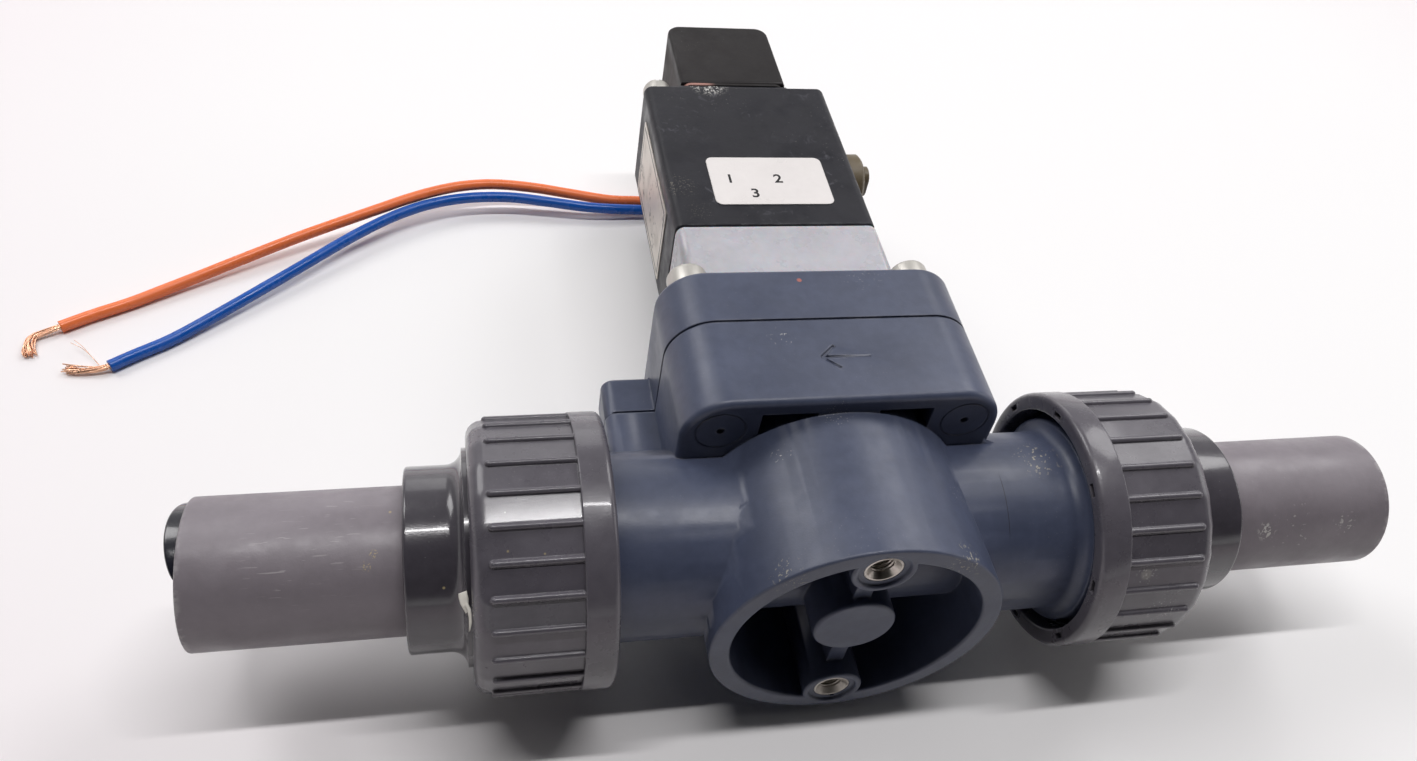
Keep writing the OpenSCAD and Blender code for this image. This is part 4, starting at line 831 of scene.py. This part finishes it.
for end, side, phase in (("inlet", 1, 0.0), ("outlet", -1, -1 / 3)):
    body = add_object(end + "_nut_blank", turned(NUT_OUTLINE, faceted(side, phase), RIB_COUNT * 6))
    nut = nut_tree.make(
        end + "_ribbed_nut", Body=body, Ribs=RIB_COUNT, Rib_Phase=phase, Rib_Circle=(NUT_R + 0.05) * MM,
        Rib_Radius=RIB_R * MM, Rib_Start=side * (NUT_BAND_END - 0.5) * MM,
        Rib_End=side * (RIB_END - RIB_R) * MM, Notches=NOTCH_COUNT, Notch_Place=side * NUT_START * MM,
        Notch_Circle=(NUT_BORE_R + NOTCH_OUT) * MM)
    drop(body)
    shade(nut.data)
    dress(nut, end + "_nut", [end + "_nut"], "nut_plastic")
    for part, outline, finish in (("tail", TAIL_OUTLINE, tail_grey), ("pipe", PIPE_OUTLINE, pipe_grey)):
        mesh = turned(outline, on_flow(side))
        pushed_end(mesh, slanting_cut)
        mesh.materials.append(finish)
        dress(add_object(f"{end}_turned_{part}", mesh), end + "_end", [f"{end}_{part}"], part + "_plastic")


def slanting_lip(angle):
    rise = (math.cos(angle - LIP_TURN) + LIP_SHARE - 1) / LIP_SHARE
    return LIP_REACH * max(rise, 0) ** 0.6 - LIP_SETBACK


# The outlet pipe's upper, far wall, reaching past the slanted cut. Its near black colour is painted shade for
# the shaded inside of that wall.
lip_mesh = turned(eased((
    (LIP_START, LIP_BORE_R, 0), (LIP_START, LIP_R, 0), (PIPE_END, LIP_R, 0.5), (PIPE_END, LIP_BORE_R, 0.2))),
    on_flow(-1))
pushed_end(lip_mesh, slanting_lip)
lip_mesh.materials.append(lip_painted_shade)
dress(add_object("outlet_inner_sleeve", lip_mesh), "outlet_end", [], "pipe_plastic")


def union_threads():
    """A tree that winds a ridge round both threaded necks."""
    tree = Tree("union_threads", Start=float, **HELIX)
    ridge = wound(tree, (0, math.pi / 2, 0))
    inlet = tree.moved(ridge, tree.point(tree.size("Start")))
    outlet = tree.moved(ridge, tree.point((tree.size("Start") + tree.size("Length")) * -1))
    return tree.ends(tree.moved(tree.joined(inlet, outlet), AXIS * MM), slate)


threads = union_threads().make("neck_threads", Turns=THREAD_LEN / THREAD_PITCH, Radius=(THREAD_R - 0.12) * MM,
                               Length=THREAD_LEN * MM, Wire=THREAD_WIRE * MM, Start=THREAD_START * MM)
shade(threads.data, 60)
dress(threads, "valve", [], "body_plastic")


def ribbon(name, strips, finish, body, slot):
    """Shreds of tape, each a list of (middle, half width)."""
    bm = bmesh.new()
    for strip in strips:
        rows = [[bm.verts.new(at(*(Vector(middle) + Vector(half) * sign))) for sign in (-1, 0, 1)]
                for middle, half in strip]
        for here, there in zip(rows, rows[1:]):
            for k in range(2):
                bm.faces.new((here[k], here[k + 1], there[k + 1], there[k]))
    bmesh.ops.recalc_face_normals(bm, faces=bm.faces)
    bmesh.ops.solidify(bm, geom=bm.faces, thickness=TAPE_T * MM)
    mesh = as_mesh(bm, name)
    shade(mesh, 50)
    mesh.materials.append(finish)
    return dress(add_object(name, mesh), body, [], slot)


ribbon("sealing_tape_shreds", (
    (((-83.1, -18.4, 15.5), (0.8, 0.2, 0.1)), ((-83.0, -19.2, 15.2), (0.9, -0.2, 0.4)),
     ((-82.8, -20.0, 14.6), (0.8, 0.3, 0.4)), ((-82.6, -20.9, 13.9), (0.5, 0.1, 0.4)),
     ((-82.4, -21.7, 13.1), (0.2, 0.1, 0.2))),
    (((-82.5, -20.6, 14.6), (0.3, 0.2, 0.1)), ((-82.0, -21.6, 14.2), (0.35, -0.1, 0.3)),
     ((-81.8, -22.6, 13.4), (0.3, 0.2, 0.2)), ((-81.8, -23.7, 12.2), (0.3, 0.1, 0.3)),
     ((-82.0, -24.6, 11.0), (0.15, 0.1, 0.1)))),
    tape, "outlet_nut", "nut_plastic")


# Screws
def screw_set(name, finish, spots):
    """A tree that sinks a recess in a screw and sets it on its places."""
    tree = Tree(name, Screw=bpy.types.Object, Recess=bpy.types.Object, Pitch_X=float, Pitch_Z=float)
    screw = tree.cut(tree.shape("Screw"), tree.shape("Recess"))
    return tree.ends(tree.set_on(spots(tree), screw), finish)


def four_corners(tree):
    grid = tree.node("GeometryNodeMeshGrid", None, {
        "Size X": tree.size("Pitch_X"), "Size Y": tree.size("Pitch_Z"),
        "Vertices X": 2, "Vertices Y": 2}, "Mesh")
    return tree.moved(grid, turn=(math.pi / 2, 0, 0))


def two_ends(tree):
    corner = tree.point(tree.size("Pitch_X") / 2, 0.0, tree.size("Pitch_Z") / -2)
    step = tree.point(tree.size("Pitch_X") * -1, 0.0, tree.size("Pitch_Z"))
    return tree.node("GeometryNodeMeshLine", None, {"Count": 2, "Start Location": corner, "Offset": step})


def prism(sides, radius, y0, y1, z=0, squeeze=1.0):
    """A straight prism along the stem, to cut a recess with."""
    bm = bmesh.new()
    turns = [math.tau * (k + 0.5) / sides for k in range(sides)]
    rings = []
    for y in (y0, y1):
        rings.append([bm.verts.new(at(radius * math.cos(turn) * squeeze, y, z + radius * math.sin(turn)))
                      for turn in turns])
    bm.faces.new(rings[0])
    bm.faces.new(rings[1])
    for k in range(sides):
        j = (k + 1) % sides
        bm.faces.new((rings[0][k], rings[0][j], rings[1][j], rings[1][k]))
    bmesh.ops.recalc_face_normals(bm, faces=bm.faces)
    return as_mesh(bm, "prism")


def fastener(name, tree, outline, recess, centre, pitch, node):
    """One set of like fasteners, in place of its solids."""
    screw = add_object(name + "_blank", turned(outline, on_stem(0, centre), 48))
    cutter = add_object(name + "_cutter", recess)
    made = tree.make(name, Screw=screw, Recess=cutter, Pitch_X=pitch[0] * MM, Pitch_Z=pitch[1] * MM)
    drop(screw)
    drop(cutter)
    shade(made.data)
    return dress(made, "valve", [node], "screw_steel")


HEAD_FOOT = COVER_TOP + WASHER_T
HEAD_TOP = HEAD_FOOT + HEAD_H
COIL_HEAD_TOP = COIL_END + COIL_HEAD_H
SQUARE = (SCREW_PITCH, SCREW_PITCH)
corner_tree = screw_set("corner_screws", zinc, four_corners)
pair_tree = screw_set("paired_screws", zinc, two_ends)
hex_recess = prism(6, HEX_WIDTH / math.sqrt(3), HEAD_TOP - HEX_DEPTH, HEAD_TOP + 1)
no_recess = prism(6, 1, HEAD_TOP + 2, HEAD_TOP + 3)
slot_recess = prism(4, 2 * COIL_HEAD_R, COIL_HEAD_TOP - COIL_SLOT, COIL_HEAD_TOP + 1, COIL_Z, 0.1)
fastener("cover_screws", corner_tree, eased((
    (SCREW_FOOT, 0, 0), (SCREW_FOOT, SCREW_R, 0.6), (HEAD_FOOT, SCREW_R, 0), (HEAD_FOOT, HEAD_R, 0.3),
    (HEAD_TOP, HEAD_R, 1.0), (HEAD_TOP, 0, 0))), hex_recess, 0, SQUARE, "bonnet_screws")
fastener("cover_washers", corner_tree, eased((
    (COVER_TOP, WASHER_BORE_R, 0.1), (COVER_TOP, WASHER_R, 0.25), (HEAD_FOOT, WASHER_R, 0.25),
    (HEAD_FOOT, WASHER_BORE_R, 0.1))), no_recess, 0, SQUARE, "bonnet_washers")
fastener("block_screws", pair_tree, eased((
    (COIL_SCREW_FOOT, 0, 0), (COIL_SCREW_FOOT, COIL_SCREW_R, 0.4), (COIL_END, COIL_SCREW_R, 0),
    (COIL_END, COIL_HEAD_R, 0.2), (COIL_HEAD_TOP, COIL_HEAD_R, 1.6), (COIL_HEAD_TOP, 0, 0))),
    slot_recess, COIL_Z, COIL_SCREW_PITCH, "coil_screws")


# Bonnet, pilot, coil block and plug
def on_bonnet(y):
    """Edges on the bonnet's rounded square at one height."""
    def test(mid, run):
        dx, dz = (abs(part) - BONNET_HALF + BONNET_ROUND for part in (mid.x, mid.z))
        gap = math.hypot(max(dx, 0), max(dz, 0)) - BONNET_ROUND + min(max(dx, dz), 0)
        return abs(mid.y - y) < TOUCH and abs(gap) < 3 * TOUCH
    return test


def ear_top(mid, run):
    return abs(mid.y - EAR_TOP) < TOUCH and mid.x < EAR_SIDE


def ear_root(mid, run):
    return abs(mid.x + BONNET_HALF) < 6 * TOUCH and abs(mid.y - EAR_TOP) < 2 * TOUCH and abs(run.z) > 0.8


def at_height(y):
    return lambda mid, run: abs(mid.y - y) < TOUCH and abs(run.y) < 0.2


def post_edge(mid, run):
    return abs(mid.y - POST_END) < TOUCH and math.hypot(mid.x, mid.z) < POST_REACH


def block_rim(y):
    """The outer edges of the coil block or the pilot at one height."""
    def test(mid, run):
        outer = abs(mid.x) > BLOCK_SIDE or mid.z > BLOCK_FRONT or mid.z < BLOCK_BACK
        return outer and at_height(y)(mid, run)
    return test


def plug_outline(mid, run):
    return min(abs(mid.z - PLUG_FRONT), abs(mid.z - PLUG_BACK)) < TOUCH


def terminal_front(mid, run):
    return abs(mid.z - TERMINAL_FRONT) < TOUCH


def gland_mouth(mid, run):
    return abs(mid.z - GLAND_MOUTH) < TOUCH and math.hypot(mid.x, mid.y - GLAND_Y) > GLAND_RIM


for name, node, finish, slot, cuts in (
        ("flanged_body", "valve_body", slate, "body_plastic", (
            (on_bonnet(FLANGE_FOOT), 1.6, 4), (on_bonnet(FLANGE_TOP), 0.3, 2), (at_height(CUP_MOUTH), 0.6, 3),
            (post_edge, 0.8, 3))),
        ("bonnet_lid", "bonnet_cover", slate, "body_plastic", (
            (ear_root, 2.5, 5), (on_bonnet(COVER_TOP), 1.0, 3), (ear_top, 0.9, 3))),
        ("milky_pilot", "pilot_body", milky, "milky_plastic", ((block_rim(COIL_FOOT), 1.4, 4),)),
        ("coil_block", "coil_housing", coil_black, "coil_plastic", (
            (block_rim(COIL_FOOT), 0.4, 2), (block_rim(COIL_END), 1.0, 3))),
        ("plug_cap", "plug_housing", plug_black, "plug_plastic", ((plug_outline, 1.0, 3),)),
        ("terminal_rim", "terminal_plate", coil_black, "plug_plastic", ((terminal_front, 0.3, 2),)),
        ("cable_gland", "gland_nut", plug_black, "plug_plastic", ((gland_mouth, 0.5, 2),))):
    eased_piece(name, node, finish, slot, cuts)


# Foot inserts and winding
def threaded_bush():
    """A tree that winds a thread in a turned bush and sets it on both sides."""
    tree = Tree("threaded_bush", Bush=bpy.types.Object, Spread=float, **HELIX)
    thread = tree.moved(wound(tree), at(0, INSERT_MOUTH + INSERT_RIM_T, 0))
    spots = tree.node("GeometryNodeMeshLine", None, {
        "Count": 2, "Start Location": tree.point(0.0, 0.0, tree.size("Spread") * -1),
        "Offset": tree.point(0.0, 0.0, tree.size("Spread") * 2)})
    return tree.ends(tree.set_on(spots, tree.joined(tree.shape("Bush"), thread)), nickel)


bush = add_object("bush_blank", turned(eased((
    (INSERT_MOUTH + 1.3, INSERT_BORE_R + 0.1, 0.2), (INSERT_MOUTH, INSERT_R - 0.1, 0.1),
    (INSERT_MOUTH, INSERT_RIM_R, 0.2), (INSERT_MOUTH + INSERT_RIM_T, INSERT_RIM_R, 0.2),
    (INSERT_MOUTH + INSERT_RIM_T + 0.4, INSERT_R, 0.2), (INSERT_MOUTH + INSERT_LEN, INSERT_R, 0.3),
    (INSERT_MOUTH + INSERT_LEN, INSERT_BORE_R + 0.1, 0.2))), on_stem(), 48))
inserts = threaded_bush().make(
    "threaded_inserts", Bush=bush, Turns=INSERT_TURNS, Radius=(INSERT_BORE_R + 0.12) * MM,
    Length=INSERT_THREAD_LEN * MM, Wire=INSERT_WIRE * MM, Spread=INSERT_Z * MM)
drop(bush)
shade(inserts.data)
dress(inserts, "valve", ["foot_inserts"], "insert_metal")


def wire_winding():
    """A tree that winds a layer of wire on a sleeve."""
    tree = Tree("wire_winding", Sleeve=bpy.types.Object, **HELIX)
    layer = tree.moved(wound(tree), at(0, WINDING_FOOT + WINDING_WIRE, COIL_Z))
    return tree.ends(tree.joined(tree.shape("Sleeve"), layer), lacquer)


sleeve = add_object("sleeve_blank", turned(eased((
    (WINDING_FOOT, WINDING_BORE, 0), (WINDING_FOOT, WINDING_R - 0.4, 0), (WINDING_END, WINDING_R - 0.4, 0),
    (WINDING_END, WINDING_BORE, 0))), on_stem(0, COIL_Z), 48))
turns = wire_winding().make(
    "copper_turns", Sleeve=sleeve, Turns=WINDING_TURNS, Radius=(WINDING_R - WINDING_WIRE - 0.02) * MM,
    Length=(WINDING_END - WINDING_FOOT - 2 * WINDING_WIRE) * MM, Wire=WINDING_WIRE * MM)
drop(sleeve)
shade(turns.data, 60)
dress(turns, "valve", ["coil_winding"], "winding_copper")


# Diaphragm and springs
def shortening(made, node, slot):
    """Lets a piece take a node's place, with a mesh of its own."""
    dress(made, "valve", [node], slot)
    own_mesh(made)


def coil_spring(place):
    """A tree that winds a spring along the stem from a place."""
    tree = Tree("coil_spring", **HELIX)
    return tree.ends(tree.moved(wound(tree), place), spring_steel)


for name, node, wire, turns, joint, travel in (
        ("closing_spring", "main_spring", 1.5, 4.0, "diaphragm_lift", LIFT),
        ("armature_return_spring", "armature_spring", 0.7, 6.0, "armature_stroke", STROKE)):
    low, high = span(node)
    middle = (low + high) / 2
    made = coil_spring(at(middle.x, low.y + wire / 2, middle.z)).make(
        name, Turns=turns, Radius=(high.x - low.x - wire) / 2 * MM, Length=(high.y - low.y - wire) * MM,
        Wire=wire / 2 * MM)
    shade(made.data, 60)
    shortening(made, node, "spring_steel")

DISC_LOW, RIM_HIGH = (corner.y for corner in span("diaphragm"))
diaphragm_mesh = turned(eased((
    (DISC_LOW, STUD_R, 0.2), (DISC_LOW, DISC_R, 0.7), (SPLIT - 1.2, WEB_R, 1.2), (SPLIT, WEB_R + 0.5, 0.2),
    (SPLIT, RIM_R, 0.4), (RIM_HIGH, RIM_R, 0.4), (RIM_HIGH, WEB_R - 0.7, 0.4),
    (SPLIT + 0.6, WEB_R - 2.2, 1.0), (DISC_LOW + DISC_T, DISC_R - 0.6, 1.2),
    (DISC_LOW + DISC_T, STUD_R, 0.2))), on_stem())
diaphragm_mesh.materials.append(rubber)
moulded_diaphragm = add_object("moulded_diaphragm", diaphragm_mesh)
shortening(moulded_diaphragm, "diaphragm", "seal_rubber")


# Label
def printed(name, marks, height, finish, slot):
    """Flat figures on a face that looks up."""
    bm = bmesh.new()
    for text, x, y in marks:
        curve = bpy.data.curves.new("figure", "FONT")
        curve.body = text
        curve.size = FIGURE_H * MM
        curve.extrude = FIGURE_T * MM
        curve.offset = FIGURE_BOLD * MM
        curve.align_x = "CENTER"
        curve.align_y = "CENTER"
        made = add_object("figure", curve)
        mesh = evaluated(made)
        mesh.transform(Matrix.Translation(at(x, y, height)))
        bm.from_mesh(mesh)
        drop(made)
    mesh = as_mesh(bm, name)
    mesh.materials.append(finish)
    return dress(add_object(name, mesh), "valve", [], slot)


LABEL_MID = (LABEL_LOW + LABEL_HIGH) / 2
printed("label_figures", [(text, LABEL_MID.x + x, LABEL_MID.y + y) for text, x, y in (
    ("1", -10.8, 0.6), ("2", 2.5, 0.6), ("3", -4.9, -5.4))], LABEL_HIGH.z + FIGURE_LIFT, ink, "label_paper")


# Table, lamps and world
def pale_table():
    """Matt white to the eye and in reflections, and greyer in the light it throws back."""
    f = Finish("pale_table")
    # Pinker and darker away from the middle: the table's rosy tint with painted falloff of the light.
    rosy_painted_falloff = f.near((0.1, 0.12, 0), 0.5, 0.2) + 0.06 * f.noise(9, 3)
    white = f.mix((0.985, 0.98, 0.98), (0.95, 0.865, 0.895), rosy_painted_falloff)
    return f.done(Base_Color=f.mix((0.66, 0.63, 0.63), white, f.seen()), Roughness=0.85)


TABLE = 8
table_mesh = bpy.data.meshes.new("table")
table_mesh.from_pydata(
    [(-TABLE, -TABLE, 0), (TABLE, -TABLE, 0), (TABLE, TABLE, 0), (-TABLE, TABLE, 0)], [], [(0, 1, 2, 3)])
table_mesh.materials.append(pale_table())
table = add_object("table", table_mesh)


def lamp(name, place, aim, size, power):
    light = bpy.data.lights.new(name, "AREA")
    light.shape = "RECTANGLE"
    light.size, light.size_y = size
    light.energy = power
    light.color = LAMP_TINT
    made = add_object(name, light)
    made.location = place
    made.rotation_euler = (Vector(aim) - Vector(place)).to_track_quat("-Z", "Y").to_euler()


LAMP_TINT, PANEL, TUBE, MIDDLE = (1, 0.985, 0.99), (0.9, 0.9), (1.3, 0.05), (0, 0.03, 0)
for name, place, aim, size, power in (
        ("ceiling_tube", (0, -0.03, 1.6), (0, -0.029, 0), TUBE, 12.5),
        ("back_left_panel", (-1.1, 1.13, 1.556), MIDDLE, PANEL, 13.2),
        ("back_right_panel", (1.259, 0.944, 1.556), MIDDLE, PANEL, 11.5),
        ("right_panel", (2.04, 0.03, 0.824), MIDDLE, PANEL, 4.8),
        ("back_low_panel", (0.0, 2.07, 0.824), MIDDLE, PANEL, 3.3)):
    lamp(name, place, aim, size, power)

world = bpy.data.worlds.new("pale_room")
SCENE.world = world
world.use_nodes = True
room = Graph(world.node_tree)
direction = room.node("ShaderNodeTexCoord", out="Generated")
away = room.node("ShaderNodeSeparateXYZ", None, {0: direction}, "Y")
rise = room.node("ShaderNodeSeparateXYZ", None, {0: direction}, "Z")
dim = room.node("ShaderNodeMapRange", None, {
    "Value": away, "From Min": -0.3, "From Max": 0.9, "To Min": 0.0, "To Max": 0.47})
white = room.node("ShaderNodeMapRange", None, {
    "Value": rise, "From Min": 0.06, "From Max": 0.18, "To Min": 1.0, "To Max": 0.0})
backdrop = world.node_tree.nodes["Background"]
backdrop.inputs["Color"].default_value = (1, 0.995, 0.99, 1)
room.feed(backdrop.inputs["Strength"], dim + room.seen() * white * (1 - dim))
